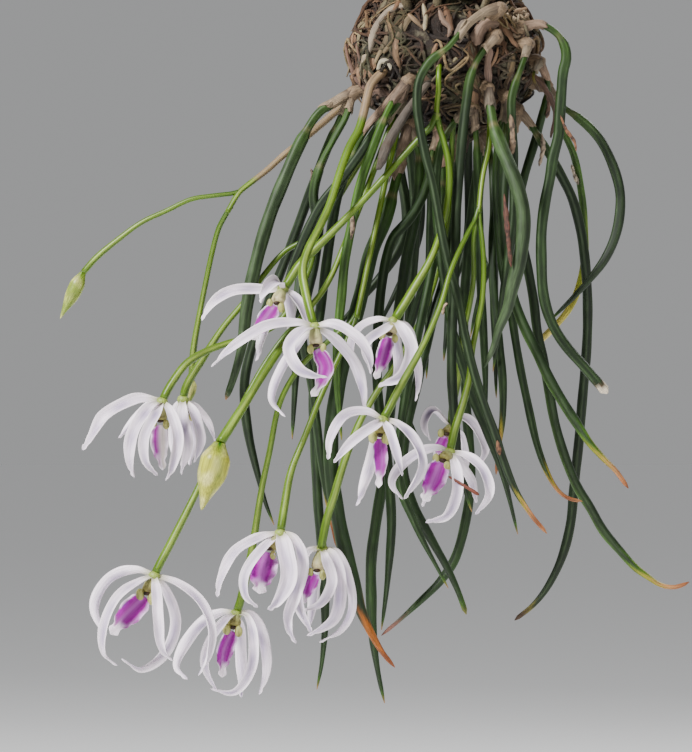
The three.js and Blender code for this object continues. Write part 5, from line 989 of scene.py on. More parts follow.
# shreds of dead sheaths that cling to the living leaves, as width, colour and [x, drop] from end to
# end; each belongs to the stem whose leaf it lies on
SHREDS = [
    (1.8, "#75604b", [[19.5, 34.5], [20.1, 39], [20.1, 46.5]]),
    (1.5, "#4d2a1d", [[17.4, 58.5], [18, 64.5], [18.6, 72], [19.5, 80.4]]),
    (1.3, "#6a5143", [[31.2, 27], [31.6, 31], [30.9, 35]]),
    (1.4, "#a08d78", [[29.4, 39.5], [29.8, 44], [28.6, 49.5]]),
    (1.0, "#6c452c", [[34.6, 34.5], [36.4, 39], [38.8, 42.4], [39.4, 45.4]]),
    (1.2, "#ab9b86", [[38.8, 48.5], [39.9, 52], [41, 54.6]]),
    (1.4, "#86705d", [[-28.2, 72], [-27.7, 68], [-28, 64]]),
    (1.1, "#967d6f", [[-40.5, 55], [-39.8, 52], [-40.4, 50]]),
    (1.0, "#a58a76", [[-1, 94.5], [-0.4, 92], [0.6, 91]]),
    (1.4, "#70492f", [[15.4, 132], [15.8, 134.4], [16.2, 136.5]]),
]


def averaged(values, count):
    """The running mean over an odd count of values, with the end values repeated past the ends."""
    return np.convolve(np.pad(values, count // 2, "edge"), np.ones(count) / count, "valid")


def shred_skin(line, width, shade):
    """A dry ribbon, rolled in at its edges and torn to a point at both ends."""
    t = along(line)
    crinkled = 1 + 0.18 * np.sin(9 * t + line[0, 0]) + 0.14 * np.sin(31 * t + line[0, 2])
    rolled = 0.7 + 0.3 * np.abs(np.cos(circle(10) + 2 * t[:, None]))
    radii = width / 2 * rounded(np.minimum(t, 1 - t) * 5 + 0.03) * crinkled
    skin = tube(line, radii, 10, shape=rolled, finish=1)
    skin["tone"] = mixed(shade * 0.3, shade * 1.25, smooth(-0.5, 0.2, ripple(skin["rings"], 1.7, 16)))
    skin["grain"] = skin["grain"] + line[0]
    return skin


# a shred lies on the front leaf within 2.6 mm of its path in the flat view, or on the nearest
spot_x, spot_y, spot_z, spot_stem, spot_r = np.vstack([
    np.column_stack([one["points"], np.full(len(one["points"]), k), one["r"]])
    for k, strands in enumerate(leaf_strands) for one in strands]).T
shred_skins = [[] for _ in LEAFY_STEMS]
for width, shade, path in SHREDS:
    flat = line_through(path, 0.5)
    far = np.hypot(spot_x - flat[:, :1], spot_z - PLANT_TOP + flat[:, 1:])
    front = np.where(far < 2.6, spot_y - spot_r, np.inf)
    nearest = np.unravel_index(np.where(np.isfinite(front.min()), front, far).argmin(), far.shape)[1]
    on_stem = np.where(spot_stem == spot_stem[nearest], far, np.inf).argmin(1)
    depth = averaged((spot_y - spot_r)[on_stem] - 0.5, 13)
    line = np.column_stack([flat[:, 0], depth, PLANT_TOP - flat[:, 1]])
    shred_skins[int(spot_stem[nearest])].append(shred_skin(line, width, linear(shade)))


def build_leaves(node, skins):
    """One leafy stem's piece: its skins in waxy leaf, and those that say so in papery sheath."""
    build(node + "_leaves", skins, [leaf_finish, paper_finish], [node])


for (name, (fork, leaves)), strands, shreds in zip(LEAFY_STEMS.items(), leaf_strands, shred_skins):
    end = from_top(fork)
    skins = [rhizome_skin(end + np.outer([0.35, 0.2, 0.0, -0.06], BALL_CENTRE - end))]
    for number, ((radius, _, tip, _), one) in enumerate(zip(leaves, strands)):
        sheath, neck = SHEATHS.get((name, number), (8, 0))
        skins += leaf_skins(one["points"], radius, tip, sheath, neck)
    build_leaves("leafy_stem_" + name, skins + shreds)

back_steps = BACK_FROM + (BACK_TO - BACK_FROM) * np.arange(9) / 8
back_skins = [rhizome_skin(np.array([on_ball(x, BACK_DROP, 1, 1.5) for x in back_steps]))]
for one in back_strands:
    back_skins += leaf_skins(one["points"], one["r"][8:].max(), "green", 8)
build_leaves(BACK_NODE, back_skins)

# Flower stems with their buds: smooth, juicy, lime-green stalks, swollen below each bloom where the
# seed pod will be, with a small dry bract at every fork. The buds are green, or cream when ripe.

# Juicy stalk: smooth and a little shiny, finely ribbed, with some light passing through its flesh
stalk_finish, stalk_tone, stalk_grain = painted("juicy_stalk")
rib = streaks(stalk_finish, stalk_grain, (2.5, 2.5, 0.08), 2)
cloud = add_node(stalk_finish, "TexNoise", {"Vector": stalk_grain, "Scale": 0.25, "Detail": 3})
rib_light = add_node(stalk_finish, "MapRange", [rib, 0.3, 0.7, 0.66, 1.35])
cloud_light = add_node(stalk_finish, "MapRange", [cloud, 0.3, 0.7, 0.88, 1.12])
stalk_light = add_node(stalk_finish, "Math", [rib_light, cloud_light], operation="MULTIPLY")
stalk_colour = add_node(stalk_finish, "VectorMath", {0: stalk_tone, "Scale": stalk_light}, operation="SCALE")
coat(stalk_finish, stalk_colour, 0.38, rib, 0.1, 0.1, {"IOR": 1.45, "Specular IOR Level": 0.35,
    "Subsurface Weight": 0.15, "Subsurface Radius": (0.8, 1.0, 0.3), "Subsurface Scale": 0.001})

STALK_GREEN, STALK_DEEP, STALK_PALE = colours("#466108 #2a4507 #8a9b46")
DRY_BEIGE, BUD_YELLOW = colours("#7c6650 #9b9b30")
BUD_GREEN, BUD_CREAM = colours("#76862f #c3bd76")
RECEPTACLE_RADIUS = 1.9
STALK_SIDES = 12
BUD_SIDES = 24
# the drop at which the dry sheaths of a stem end
WRAPPED = {"c": 53.5, "d": 36}
# the share of its radius with which the strand to a bud or bloom starts, where it isn't 0.86
STRAND_SHARE = {"bud1": 1.2, "ov": 1.0}
stalk_angle = circle(STALK_SIDES)


def short_of(heart, points, stand):
    """A line that stops stand away from the heart that it runs to."""
    far = np.linalg.norm(points - heart, axis=1)
    kept = points[far > stand + 0.8]
    return np.vstack([kept, heart + unit(kept[-1] - heart) * stand])


def bract(at, way, side, radius):
    """A small dry scale at a fork: a pointed sleeve 4 mm long that hugs the stalk and leans off it."""
    t = np.linspace(0, 1, 9)
    line = at + np.outer(4 * t - 0.8, way) + np.outer(radius * (0.1 + 0.9 * t ** 2), side)
    tone = mixed(linear("#666f36"), linear("#93805b"), smooth(0.1, 0.7, t)[:, None])
    radii = (radius + 0.12) * rounded(1 - t, 0.02) * (1 - 0.45 * t)
    return tube(line, radii, 10, side=side, tone=tone, finish=1)


def bud_skin(name):
    """A bud, narrow where it meets the stalk, fat above the middle and drawn out to a point, with
    three folded sepals that are wrung a little towards the point."""
    line = resample(bud_lines[name], 40)
    t = along(line)
    swell = (0.34 + 0.66 * smooth(-0.05, 0.28, t)) * (1 - 0.86 * smooth(0.4, 1.02, t))
    folded = np.abs(np.sin(1.5 * (circle(BUD_SIDES) + 1.1 * t[:, None])))
    radii = BUDS[name][1] * swell * rounded((1 - t) / 0.06, 0.02)
    skin = tube(line, radii, BUD_SIDES, shape=0.9 + 0.13 * folded ** 0.5)
    clouded = smooth(-0.5, 0.8, ripple(skin["rings"], 5, 21))
    tone = mixed(BUD_YELLOW if name == "bud2" else BUD_GREEN, BUD_CREAM, 0.75 * clouded)
    green = 0.75 * (1 - folded ** 0.4) + 0.7 * (1 - smooth(0, 0.22, t))[:, None]
    skin["tone"] = mixed(tone, STALK_GREEN, green)
    return skin


for (name, table), strands in zip(FLOWER_STEMS.items(), stalk_strands):
    skins = []
    for number, ((radius, _, ends, _), settled) in enumerate(zip(table, strands)):
        points = settled["points"]
        if ends in BLOOMS:
            stand = RECEPTACLE_RADIUS + GAP + 0.5 * radius[1] - 1.6
            points = short_of(from_top(BLOOMS[ends][0]), points, stand)
        line = eased_line(points, 1.2)
        t = along(line)
        r = straight(*radius)(t)
        if ends:
            # the pod below the flower, as three soft ribs
            r = r * (STRAND_SHARE.get(ends, 0.86) + 0.2 * smooth(0.55, 0.9, t))
        pod = 1 + 0.07 * np.cos(3 * stalk_angle) * smooth(0.5, 0.9, t)[:, None]
        tone = mixed(STALK_DEEP, STALK_GREEN, smooth(0, 0.35, t)[:, None])
        # pale stripes run down three sides of the stalk: pale fibres, and painted highlights
        lit = (0.15 + 0.5 * smooth(0.3, 0.8, t))[:, None] * (0.5 + 0.5 * np.cos(3 * stalk_angle)) ** 2
        tone = mixed(tone, STALK_PALE, lit * (1 - smooth(0.9, 1, t))[:, None])
        # dry sheaths still wrap the feet of the old stems, parted at a node
        drop = PLANT_TOP - line[:, 2]
        wrap_end = WRAPPED.get(name, 0)
        wrapped = (1 - smooth(wrap_end - 1, wrap_end + 1, drop)) * (number == 0)
        parted = 1 - 0.5 * np.exp(-((drop - 43) / 0.6) ** 2)
        tone = mixed(tone, DRY_BEIGE, (0.9 * wrapped * parted)[:, None])
        skins.append(tube(line, r, STALK_SIDES, shape=pod, tone=tone))
        way = unit(line[2] - line[1])
        skins.append(bract(line[1], way, unit(np.cross(way, [0.3, 0.4, 1])), r[0]))
        if ends in BUDS:
            skins.append(bud_skin(ends))
    build(f"flower_stem_{name}_stalks", skins, [stalk_finish, paper_finish], ["flower_stem_" + name])

# Blooms: five narrow white tepals curl out and back from each heart, round a short olive column
# with a brown anther. The lip below it is a magenta trowel with a pale edge and a white tip, and
# two small round yellow-green lobes clasp the column.
def flower_flesh(name, gloss):
    """Thin juicy tissue whose colour is its tone attribute: fine cells, faint nerves, some glow inside."""
    flesh, tone, grain = painted(name)
    # the cells sparkle; they are 0.1 mm wide and are drawn at 0.3 mm so that they show
    cells = add_node(flesh, "TexNoise", {"Vector": grain, "Scale": 1 / 0.3, "Detail": 2})
    nerve = streaks(flesh, grain, (1.6, 1.6, 0.1), 2)
    colour = shaded(flesh, tone, nerve, 0.35, 0.65, 0.82, 1.06)
    relief = add_node(flesh, "Bump", {"Height": cells, "Strength": 0.3, "Distance": 0.0001})
    ridges = add_node(flesh, "Bump",
        {"Height": nerve, "Strength": 0.4, "Distance": 0.0003, "Normal": relief})
    surface = add_node(flesh, "BsdfPrincipled", {"Base Color": colour, "Roughness": 0.45, "IOR": 1.4,
        "Specular IOR Level": gloss, "Subsurface Weight": 0.1, "Subsurface Radius": (1.0, 0.8, 0.9),
        "Subsurface Scale": 0.0006, "Normal": ridges})
    add_node(flesh, "OutputMaterial", [surface])
    return flesh


# Tepals are smooth and a little glossy, lips velvety, so that their magenta stays deep
petal_finish, lip_finish = flower_flesh("white_tepal", 0.4), flower_flesh("velvety_lip", 0.05)

# the lilac is painted shade for the tepals' channels
WHITE, LILAC, GREENISH = colours("#f3e7ef #85759b #92945f")
MAGENTA, ORCHID, OLIVE, ANTHER = colours("#86007f #8e259c #7a7339 #2f1d0c")
LOBE, CREAM = colours("#a0a059 #b9ae80")
# which hoods are cream, not olive; on which blooms the lobes stand wide; and the broadest lips
CREAM_HOODS, WIDE_LOBES = ("f1", "f2", "f3", "f10"), ("f4", "f7", "f8")
BROAD_LIPS = {"f9": 1.22, "f5": 1.12, "f7": 1.08, "f6a": 1.25}
TEPAL_THICKNESS = 0.6
LIP_THICKNESS = 0.8
# the lip's width from heart to tip, as [way, share]
LIP_OUTLINE = np.array(
    [[0, 0.55], [0.18, 0.95], [0.42, 1], [0.66, 0.74], [0.8, 0.38], [0.91, 0.5], [1, 0.22]])
section = circle(18)
# the place across a blade, 1 at one edge and -1 at the other
across_blade = np.cos(section)


def blade(line, widths, thickness, face, channel, ruffle=0.0, phase=0.0, twist=0.0, **skin):
    """A blade along a line: a flat oval section, width w and the given thickness, whose edges are
    lifted towards the face by channel * w / 2 at the edge, with an optional wave along the edges and
    a twist of that many radians over its last fifth."""
    middle = len(line) // 2
    _, across, other = frames(line, np.cross(line[middle + 1] - line[middle - 1], face), middle)
    t = along(line)[:, None]
    turned = twist * smooth(0.78, 1, t)
    wide_way = across * np.cos(turned) + other * np.sin(turned)
    face_way = other * np.cos(turned) - across * np.sin(turned)
    u = across_blade
    w = widths[:, None] / 2
    rise = np.sign(np.sin(section)) * np.abs(np.sin(section)) ** 0.6 * thickness / 2
    rise = rise * (1 - 0.55 * u ** 2) * np.minimum(1, 0.35 + widths[:, None] / 3)
    wave = np.sin(17 * t + 2.4 * np.sign(u) + phase) * np.abs(u) ** 3
    lift = rise - channel * w * u ** 2 + ruffle * wave * w
    rings = line[:, None] + wide_way[:, None] * (w * u)[..., None] + face_way[:, None] * lift[..., None]
    grain = np.stack([w * u, lift, t * reach_of(line)[-1] + 0 * u], -1)
    return {"rings": rings, "grain": grain, **skin}


def facing(point):
    """The way a tepal's face looks at a point of its path: outwards, and forwards or back."""
    x, y = point[:2]
    side = 1 if y > 1 else -1
    far = math.hypot(x, y) or 1
    return unit(np.array([x / far, y / far + 0.9 * side, 0.1]))


def tepal_width(width, t):
    """Half the width at the heart, full at 0.3, tapering from 0.6 on and pinched before the tip."""
    pinched = 1 - 0.3 * np.exp(-((t - 0.93) / 0.025) ** 2)
    body = width * (0.5 + 0.5 * smooth(0, 0.3, t)) * (1 - 0.62 * smooth(0.6, 1, t))
    return body * pinched * rounded((1 - t) / 0.04, 0.02)


def lip_width(width, t):
    """The outline's share of the width, blended from point to point, and closed at the tip."""
    after = np.clip(np.searchsorted(LIP_OUTLINE[:, 0], t, side="right"), 1, len(LIP_OUTLINE) - 1)
    (low, low_share), (high, high_share) = LIP_OUTLINE[after - 1].T, LIP_OUTLINE[after].T
    share = low_share + (high_share - low_share) * smooth(low, high, t)
    return width * share * rounded((1 - t) / 0.05, 0.05)


def knob(at, radius, shade, squash):
    """A squashed ball that darkens in blotches."""
    polar = np.linspace(math.pi - 0.08, 0.08, 12)
    skin = spun(radius * np.column_stack([np.sin(polar), squash[2] * np.cos(polar)]), 16)
    skin["rings"] = at + skin["rings"] * [squash[0], squash[1], 1]
    skin["tone"] = mixed(shade, shade * 0.45, smooth(0, 1, ripple(skin["rings"], 1.8, 3)))
    return skin


petal_rng = np.random.default_rng(11)
for number, (name, (heart_at, tepals, (breadth, lip_path))) in enumerate(BLOOMS.items(), 1):
    heart = from_top(heart_at)
    skins = []
    for width, path in tepals:
        line = petal_line(heart_at, [[0, 0, 0], *path], 0.6)[1:]
        t = along(line)
        skin = blade(line, tepal_width(width, t), TEPAL_THICKNESS, facing(path[len(path) // 2]),
            0.7 + 0.25 * petal_rng.uniform(), 0.07, petal_rng.uniform(0, 6), petal_rng.uniform(-1.5, 1.5))
        # painted shade: a lilac grey down the middle of each tepal, in its channel, that leaves its edges
        # white
        clouds = 0.6 + 0.35 * ripple(skin["rings"], 9, number)
        channel_shade = np.exp(-(across_blade / 0.66) ** 4) * smooth(0.03, 0.3, t)[:, None] * clouds
        tone = mixed(WHITE, LILAC, 0.85 * np.clip(channel_shade, 0, 1))
        skin["tone"] = mixed(tone, GREENISH, 0.8 * (1 - smooth(0.01, 0.16, t))[:, None])
        skin["grain"] = skin["grain"] + petal_rng.uniform(0, 40, 3)
        skins.append(skin)
    lip_start = heart + lip_path[0]
    lip_way = unit(heart - lip_start)
    # the column: a short thick hood, olive at its mouth
    column_line = resample([heart + lip_way * 0.6, lip_start + lip_way], 12)
    t = along(column_line)
    column = tube(column_line, (1.25 + 0.75 * smooth(0.1, 0.6, t)) * rounded((1.04 - t) * 5, 0.1), 16)
    mouth = smooth(0.35, 0.95, t)[:, None]
    tone = mixed(GREENISH, CREAM if name in CREAM_HOODS else OLIVE, mouth)
    blotches = 0.75 * smooth(0.1, 0.9, ripple(column["rings"], 2.2, number))
    column["tone"] = mixed(tone, ANTHER, blotches * mouth)
    skins.append(column)
    # the receptacle, a green knob where the stalk ends; the anther under the hood; and the two lobes
    skins.append(knob(heart, RECEPTACLE_RADIUS * 0.95, STALK_PALE, (1, 1, 0.9)))
    skins.append(knob(lip_start + lip_way * 1.2 + [0, -1.0, 0.1], 0.85, ANTHER, (1.25, 0.8, 0.7)))
    side_way = unit(np.cross(lip_way, [0, -1, 0.2]))
    for sign in (-1, 1):
        aside = sign * side_way * (1.7 + 0.4 * petal_rng.uniform())
        lobe_at = lip_start + lip_way * 0.3 + aside + [0, -0.5, 0]
        lobe_size = (1.5 + 0.25 * petal_rng.uniform()) * (1 if name in WIDE_LOBES else 0.78)
        skins.append(knob(lobe_at, lobe_size, LOBE, (0.8, 0.6, 1.15)))
    if name == "f5":
        # a withered flower stalk has fallen across this bloom
        line = line_through(heart + [[-0.5, -6.5, -7], [3, -9, -9], [8.6, -11, -12.5]], 0.5)
        t = along(line)
        radii = (0.35 + 0.25 * t) * rounded(np.minimum(t, 1 - t) * 12 + 0.05)
        skins.append(tube(line, radii, 8, tone=linear("#5e2c1c")))
    build(f"bloom_{number:02d}_tepals", skins, [petal_finish], [f"bloom_{number:02d}"])

    # the lip: a magenta trowel with a frilled lilac edge, narrowing to a white curled tip
    line = petal_line(heart_at, lip_path, 0.3)
    t = along(line)[:, None]
    u = across_blade
    phase = petal_rng.uniform(0, 6)
    widths = lip_width(breadth * BROAD_LIPS.get(name, 1), t[:, 0])
    ruffle = 0.45 if name == "f9" else 0.2
    lip = blade(line, widths, LIP_THICKNESS, (0, -1, 0.2), 0.3, ruffle, phase, petal_rng.uniform(-0.9, 0.9))
    frayed = 0.16 * np.sin(9 * t + 3 * u + phase) + 0.1 * np.sin(23 * t - 5 * u + phase)
    within = (1 - smooth(0.76, 1.06, np.abs(u) + frayed)) * smooth(-0.03, 0.06, t + 0.4 * frayed)
    heart_share = within * (1 - smooth(0.64, 0.86, t + 0.5 * frayed))
    margin = (1 - smooth(0.6, 0.84, t)) * (1 - 0.8 * smooth(0.86, 0.99, np.abs(u)))
    edge_tone = mixed(WHITE, ORCHID, margin * (0.8 + 0.2 * np.sin(19 * u)))
    if name == "f6a":
        # this lip is nearly white, with one magenta streak along its left edge and a green one beside it
        left = smooth(-0.25, 0.3, u)
        heart_share, edge_tone = heart_share * left, mixed(WHITE, edge_tone, left * 0.6)
        edge_tone = mixed(edge_tone, LOBE, 0.6 * np.exp(-((u + 0.35) / 0.22) ** 2))
    lip["tone"] = mixed(edge_tone, MAGENTA, heart_share * (0.78 + 0.22 * np.sin(13 * u + phase)))
    build(f"lip_{number:02d}_blade", [lip], [lip_finish], [f"lip_{number:02d}"])

# Root mass: the plant's old heart, a ball of dead roots, rhizomes and sheaths that has outgrown the
# pot's foot. Seven thick roots climb from it over the pot's wall and rim into the bark.
ROOT_HEADINGS = [12, 60, 118, 160, 235, 268, 302]
BARK_LEVEL = 7
BARK_Z = RIM_Z - BARK_LEVEL
LID_Z = FOOT_Z - GAP

# Old velamen and humus: matt and crumbly, blotched with pale lichen and olive moss
fibre_finish = new_material("matted_roots")
fibre_tone = add_node(fibre_finish, "Attribute", attribute_name="tone")
fibre_place = add_node(fibre_finish, "TexCoord").outputs["Object"]
# crumbs about 1 mm wide, and pale lichen in patches of 7 mm
crumbs = add_node(fibre_finish, "TexNoise",
    {"Vector": fibre_place, "Scale": across_mm(1.1), "Detail": 6, "Roughness": 0.65})
lichen = add_node(fibre_finish, "TexNoise",
    {"Vector": fibre_place, "Scale": across_mm(7), "Detail": 6, "Roughness": 0.6})
fibre_colour = shaded(fibre_finish, fibre_tone, crumbs, 0.3, 0.7, 0.45, 1.35)
lichened = overlaid(fibre_finish, fibre_colour, lichen, 0.56, 0.68, 0.45, "#837d65")
# moss in patches of 11 mm, olive green
moss = add_node(fibre_finish, "TexNoise",
    {"Vector": fibre_place, "Scale": across_mm(11), "Detail": 7, "Roughness": 0.7})
mossy = overlaid(fibre_finish, lichened, moss, 0.5, 0.62, 0.7, "#2c2f13")
coat(fibre_finish, mossy, 0.9, crumbs, 0.9, 0.8)

HUMUS, TAN, VELAMEN = colours("#1b0f06 #4f331b #6a6146")


def ball_points(ways, stand):
    """Points that lie on the lumpy ball in those unit directions, standing off it."""
    x, y, z = np.moveaxis(ways, -1, 0)
    lumps = 1 + 0.035 * np.sin(7 * x + 3 * z) * np.sin(6 * y - 4 * x) + 0.025 * np.sin(13 * z + 5 * y)
    points = BALL_CENTRE + ways * lumps[..., None] * BALL_RADII
    points = points + unit(points - BALL_CENTRE) * np.asarray(stand)[..., None]
    return below(points, LID_Z)


def below(points, lid):
    """The points, with none above the lid."""
    points[..., 2] = np.minimum(points[..., 2], lid)
    return points


polar = np.linspace(math.pi - 0.03, 0.03, 80)[:, None]
around = circle(120)
level = np.sin(polar)
ways = np.stack([level * np.cos(around), level * np.sin(around), np.cos(polar) + 0 * around], -1)
core = ball_points(ways, 0 * ways[..., 0])
core = ball_points(ways, 0.45 * ripple(core, 5, 3) + 0.3 * ripple(core, 2.2, 4) - 0.35)
root_skins = [{"rings": core, "tone": mixed(HUMUS, TAN, 0.15 + 0.2 * ripple(core, 9, 5) ** 2)}]

# roots that wander over the ball, some of them in tangles that stand off it
root_rng = np.random.default_rng(23)
for k in range(330):
    start = unit(root_rng.normal(size=3) * [1, 1, 0.9] + [0, 0, 0.1])
    heading = unit(np.cross(start, root_rng.normal(size=3)))
    arc_length = root_rng.uniform(0.3, 1.2)
    t = np.linspace(0, 1, 17)
    far = t[:, None]
    wander = 0.14 * np.sin(far * root_rng.uniform(4, 14) + root_rng.uniform(0, 6)) * np.cross(start, heading)
    along_arc = start * np.cos(arc_length * far) + heading * np.sin(arc_length * far)
    ways = along_arc + wander - [0, 0, 0.25] * far
    thick = root_rng.uniform(0.2, 0.62)
    loose = root_rng.uniform(0, 1.8) * (k % 3 == 0)
    stand = 0.1 + 0.6 * thick + loose * np.sin(math.pi * t) + 0.2 * np.sin(9 * t + k)
    line = below(ball_points(unit(ways), stand), LID_Z - thick - 0.1)
    if k % 6:
        shade = mixed(HUMUS, TAN, root_rng.uniform(0, 1))
    else:
        shade = mixed(TAN, linear("#87734f"), root_rng.uniform(0.1, 0.9))
    root_skins.append(tube(line, thick * rounded(np.minimum(t, 1 - t) * 12, 0.1), 7, tone=shade))

# papery scales and straps of old sheaths that stand off the ball, pointing down
for k in range(130):
    start = unit(root_rng.normal(size=3) * [1, 1, 0.8] + [0, -0.3, 0.15])
    t = np.linspace(0, 1, 14)
    is_strap = k % 4 == 0
    fall = [root_rng.uniform(-0.35, 0.3), 0,
            root_rng.uniform(-0.75, -0.35) if is_strap else root_rng.uniform(-0.4, -0.15)]
    stand = 0.5 + root_rng.uniform(0.2, 2.2) * t ** 2 + 0.3 * np.sin(5 * t + k)
    line = below(ball_points(unit(start + np.outer(t, fall)), stand), LID_Z - 1.2)
    broad = root_rng.uniform(2.2, 3.6) if is_strap else root_rng.uniform(1.1, 2.6)
    widths = broad * rounded((1.03 - t) * 1.8) * (0.6 + 0.4 * np.minimum(1, 4 * t))
    scale = blade(line, widths, 0.4, unit(line[7] - BALL_CENTRE), root_rng.uniform(-0.7, -0.2), 0.25, k,
        root_rng.uniform(-1, 1), finish=1)
    shade = mixed(linear("#51361f"), linear("#917052"), root_rng.uniform() ** 1.3)
    scale["tone"] = mixed(shade, linear("#6f6547"), root_rng.uniform() * (k % 3 == 0))
    root_skins.append(scale)

# dry stalks and old sheaths of long-dead shoots: thin ones are solid, wide ones are open trumpets
for (radius, _), line in zip(DRY_STALKS, dry_lines):
    fine = line_through(line, 0.6)
    t = along(fine)
    hollow = radius > 1.2
    swell = 0.6 + 0.45 * t if hollow else 1 - 0.35 * t
    skin = tube(fine, radius * swell * rounded((1.02 - t) * 8, 0.1), 16, finish=1)
    skin["rings"] += 0.16 * radius * ripple(skin["rings"] * [1, 1, 0.4], 1.8, 6)[..., None]
    skin["tone"] = linear("#665a4e") if hollow else linear("#64493a")
    root_skins.append(skin)

# single straps and scraps on the face of the ball, as width, colour and [x, drop] from end to end
STRAPS = [
    (2.6, "#7b6e5d", [[-11.5, 1.5], [-17, 3.5], [-20.5, 8], [-23, 16]]),
    (2.2, "#8a7a64", [[-23.5, 16], [-24.5, 20.5], [-23.5, 25]]),
    (1.7, "#9a917a", [[-20.5, 21], [-19.5, 18.3], [-17.2, 18.6], [-16.4, 21.2]]),
    (1.8, "#6d5747", [[-2, 2.5], [-0.8, 6], [1.4, 8.5], [0.6, 11.5]]),
    (1.5, "#94876b", [[-6.6, 1], [-5.8, 5], [-6.4, 9.5]]),
    (4.2, "#76604f", [[16.6, 6.6], [13.4, 6.4], [10.6, 9], [9, 13.8]]),
    (2.2, "#7d6455", [[13.6, 14.4], [12.8, 19], [13.2, 26]]),
    (3.6, "#5d4535", [[-24, 27], [-20, 26.2], [-16.5, 29]]),
    (1.8, "#9c8c73", [[2.6, 40.4], [5, 41], [7.6, 40.6]]),
    (2.4, "#5d4c40", [[6, 38], [6.4, 42], [6, 45.5]]),
    (2.0, "#6c5846", [[20, 6], [22.5, 9.5], [21.5, 14]]),
]
for number, (width, shade, path) in enumerate(STRAPS):
    line = np.array([on_ball(x, drop, -1, 2.1) for x, drop in line_through(path, 0.5)])
    line[:, 1] = averaged(line[:, 1], 9)
    t = along(line)
    widths = width * rounded(np.minimum(t * 8, (1 - t) * 4) + 0.04) * (1 + 0.12 * np.sin(11 * t + number))
    root_skins.append(blade(line, widths, 0.4, (0, -1, 0.1), -0.7, 0.12, number, 0.6,
        tone=linear(shade), finish=1))

# a knobby tuft of rootlets at the right, as short crooked ends
for k in range(46):
    foot = np.array([21, -14, PLANT_TOP - 5.5]) + root_rng.normal(size=3) * [2.2, 2.6, 2.0]
    way = unit(root_rng.normal(size=3) + [0.5, -0.7, -0.3])
    t = np.linspace(0, 1, 9)
    bend = np.cross(way, unit(root_rng.normal(size=3)))
    line = foot + np.outer(root_rng.uniform(2, 4.4) * t, way) + np.outer(0.9 * np.sin(4 * t), bend)
    line = below(line, LID_Z - 0.8)
    line[:, 0] = np.minimum(line[:, 0], 28)
    # a hair of fall, so that no two points of a flattened line are the same
    line[:, 2] -= 1e-3 * t
    radii = root_rng.uniform(0.3, 0.6) * rounded((1.03 - t) * 6, 0.05)
    shade = mixed(linear("#5b452f"), linear("#a08d74"), root_rng.uniform())
    root_skins.append(tube(line, radii, 7, tone=shade, finish=k % 2))


def clasping_root(heading, radius):
    """The route of a root: out of the ball, up the wall, over the ring and the rim, into the bark."""
    off = radius + GAP + 0.35
    climb = [[wall_radius(z) + off, z] for z in (FOOT_Z + 4, FOOT_Z + 20, RING_Z - 9)]
    profile = np.array([[12, FOOT_Z - 9], [wall_radius(FOOT_Z) - 2, FOOT_Z - 5], *climb,
        [RING_RADIUS + WIRE + off + 0.5, RING_Z - 2], [RIM_RADIUS + off + 0.5, BAND_Z + 4],
        [RIM_RADIUS + off + 0.3, RIM_Z - 2], [RIM_RADIUS - 0.8, RIM_Z + off + 0.7],
        [MOUTH_RADIUS - 1, RIM_Z + off - 0.2], [MOUTH_RADIUS - off - 3, RIM_Z - 3.5],
        [MOUTH_RADIUS - 10, BARK_Z + radius + 0.2]])
    a = math.radians(heading) + 0.10 * math.sin(heading) * np.sin(np.arange(12))
    return np.column_stack([profile[:, 0] * np.cos(a), profile[:, 0] * np.sin(a), profile[:, 1]])


for k, heading in enumerate(ROOT_HEADINGS):
    root_radius = 1.1 + 0.35 * ((k * 5) % 3) / 2
    line = line_through(clasping_root(heading, root_radius), 1.5)
    t = along(line)
    root = tube(line, root_radius * (1 - 0.4 * smooth(0.96, 1, t)), 14)
    root["rings"] += 0.06 * ripple(root["rings"], 6, 8)[..., None]
    tone = mixed(VELAMEN, TAN, 0.35 + 0.3 * ripple(root["rings"], 12, 9))
    root["tone"] = mixed(tone, HUMUS, 0.7 * (1 - smooth(0, 0.2, t))[:, None])
    root_skins.append(root)
for skin in root_skins:
    # painted shade: darker towards the bottom of the mass, and darker the deeper a point lies in it, between
    # the roots
    stand = np.linalg.norm((skin["rings"] - BALL_CENTRE) / BALL_RADII, axis=-1, keepdims=True)
    crevice_shade = 0.5 + 0.5 * smooth(0.99, 1.07, stand)
    skin["tone"] = skin["tone"] * crevice_shade * (0.42 + 0.58 * smooth(-206, -183, skin["rings"][..., 2:]))
build("root_mass_roots", root_skins, [fibre_finish, paper_finish], ["root_mass"])

# Young leafy stems that still stand in the pot, arching over its rim between the hanger's legs. For
# each leaf: its heading in degrees, and how far it hangs out from the rim.
POT_STEMS = {
    "leafy_stem_in_pot_left": (190, [[128, 20], [172, 26], [236, 18]]),
    "leafy_stem_in_pot_right": (10, [[-62, 18], [2, 26], [58, 20]]),
}
for node, (heading, leaves) in POT_STEMS.items():
    a = math.radians(heading)
    creep_z = BARK_Z + RHIZOME_RADIUS + GAP + 2.4
    creep = np.array([[r * math.cos(a), r * math.sin(a) + (i % 2) * 0.8, creep_z]
        for i, r in enumerate((6, 12, 18, 23))])
    skins = [rhizome_skin(creep)]
    for i, (angle, out) in enumerate(leaves):
        way = math.radians(angle)
        top = RIM_Z + 20 + 3 * (i % 3)
        r, z = np.array([[16, RIM_Z + 6], [24, top - 4], [RIM_RADIUS + out * 0.45, top - 3],
            [RIM_RADIUS + out, RIM_Z - 8], [RIM_RADIUS + out + 2, FOOT_Z + 14 + 6 * (i % 2)]]).T
        route = np.column_stack([r * math.cos(way), r * math.sin(way), z])
        knee = creep[i] * [0.7, 0.7, 0] + route[0] * 0.3 + [0, 0, 0.7 * (BARK_Z + 12)]
        skins += leaf_skins(line_through(np.vstack([creep[i], knee, route[1:]]), STEP), 1.5, "green", 8)
    build_leaves(node, skins)

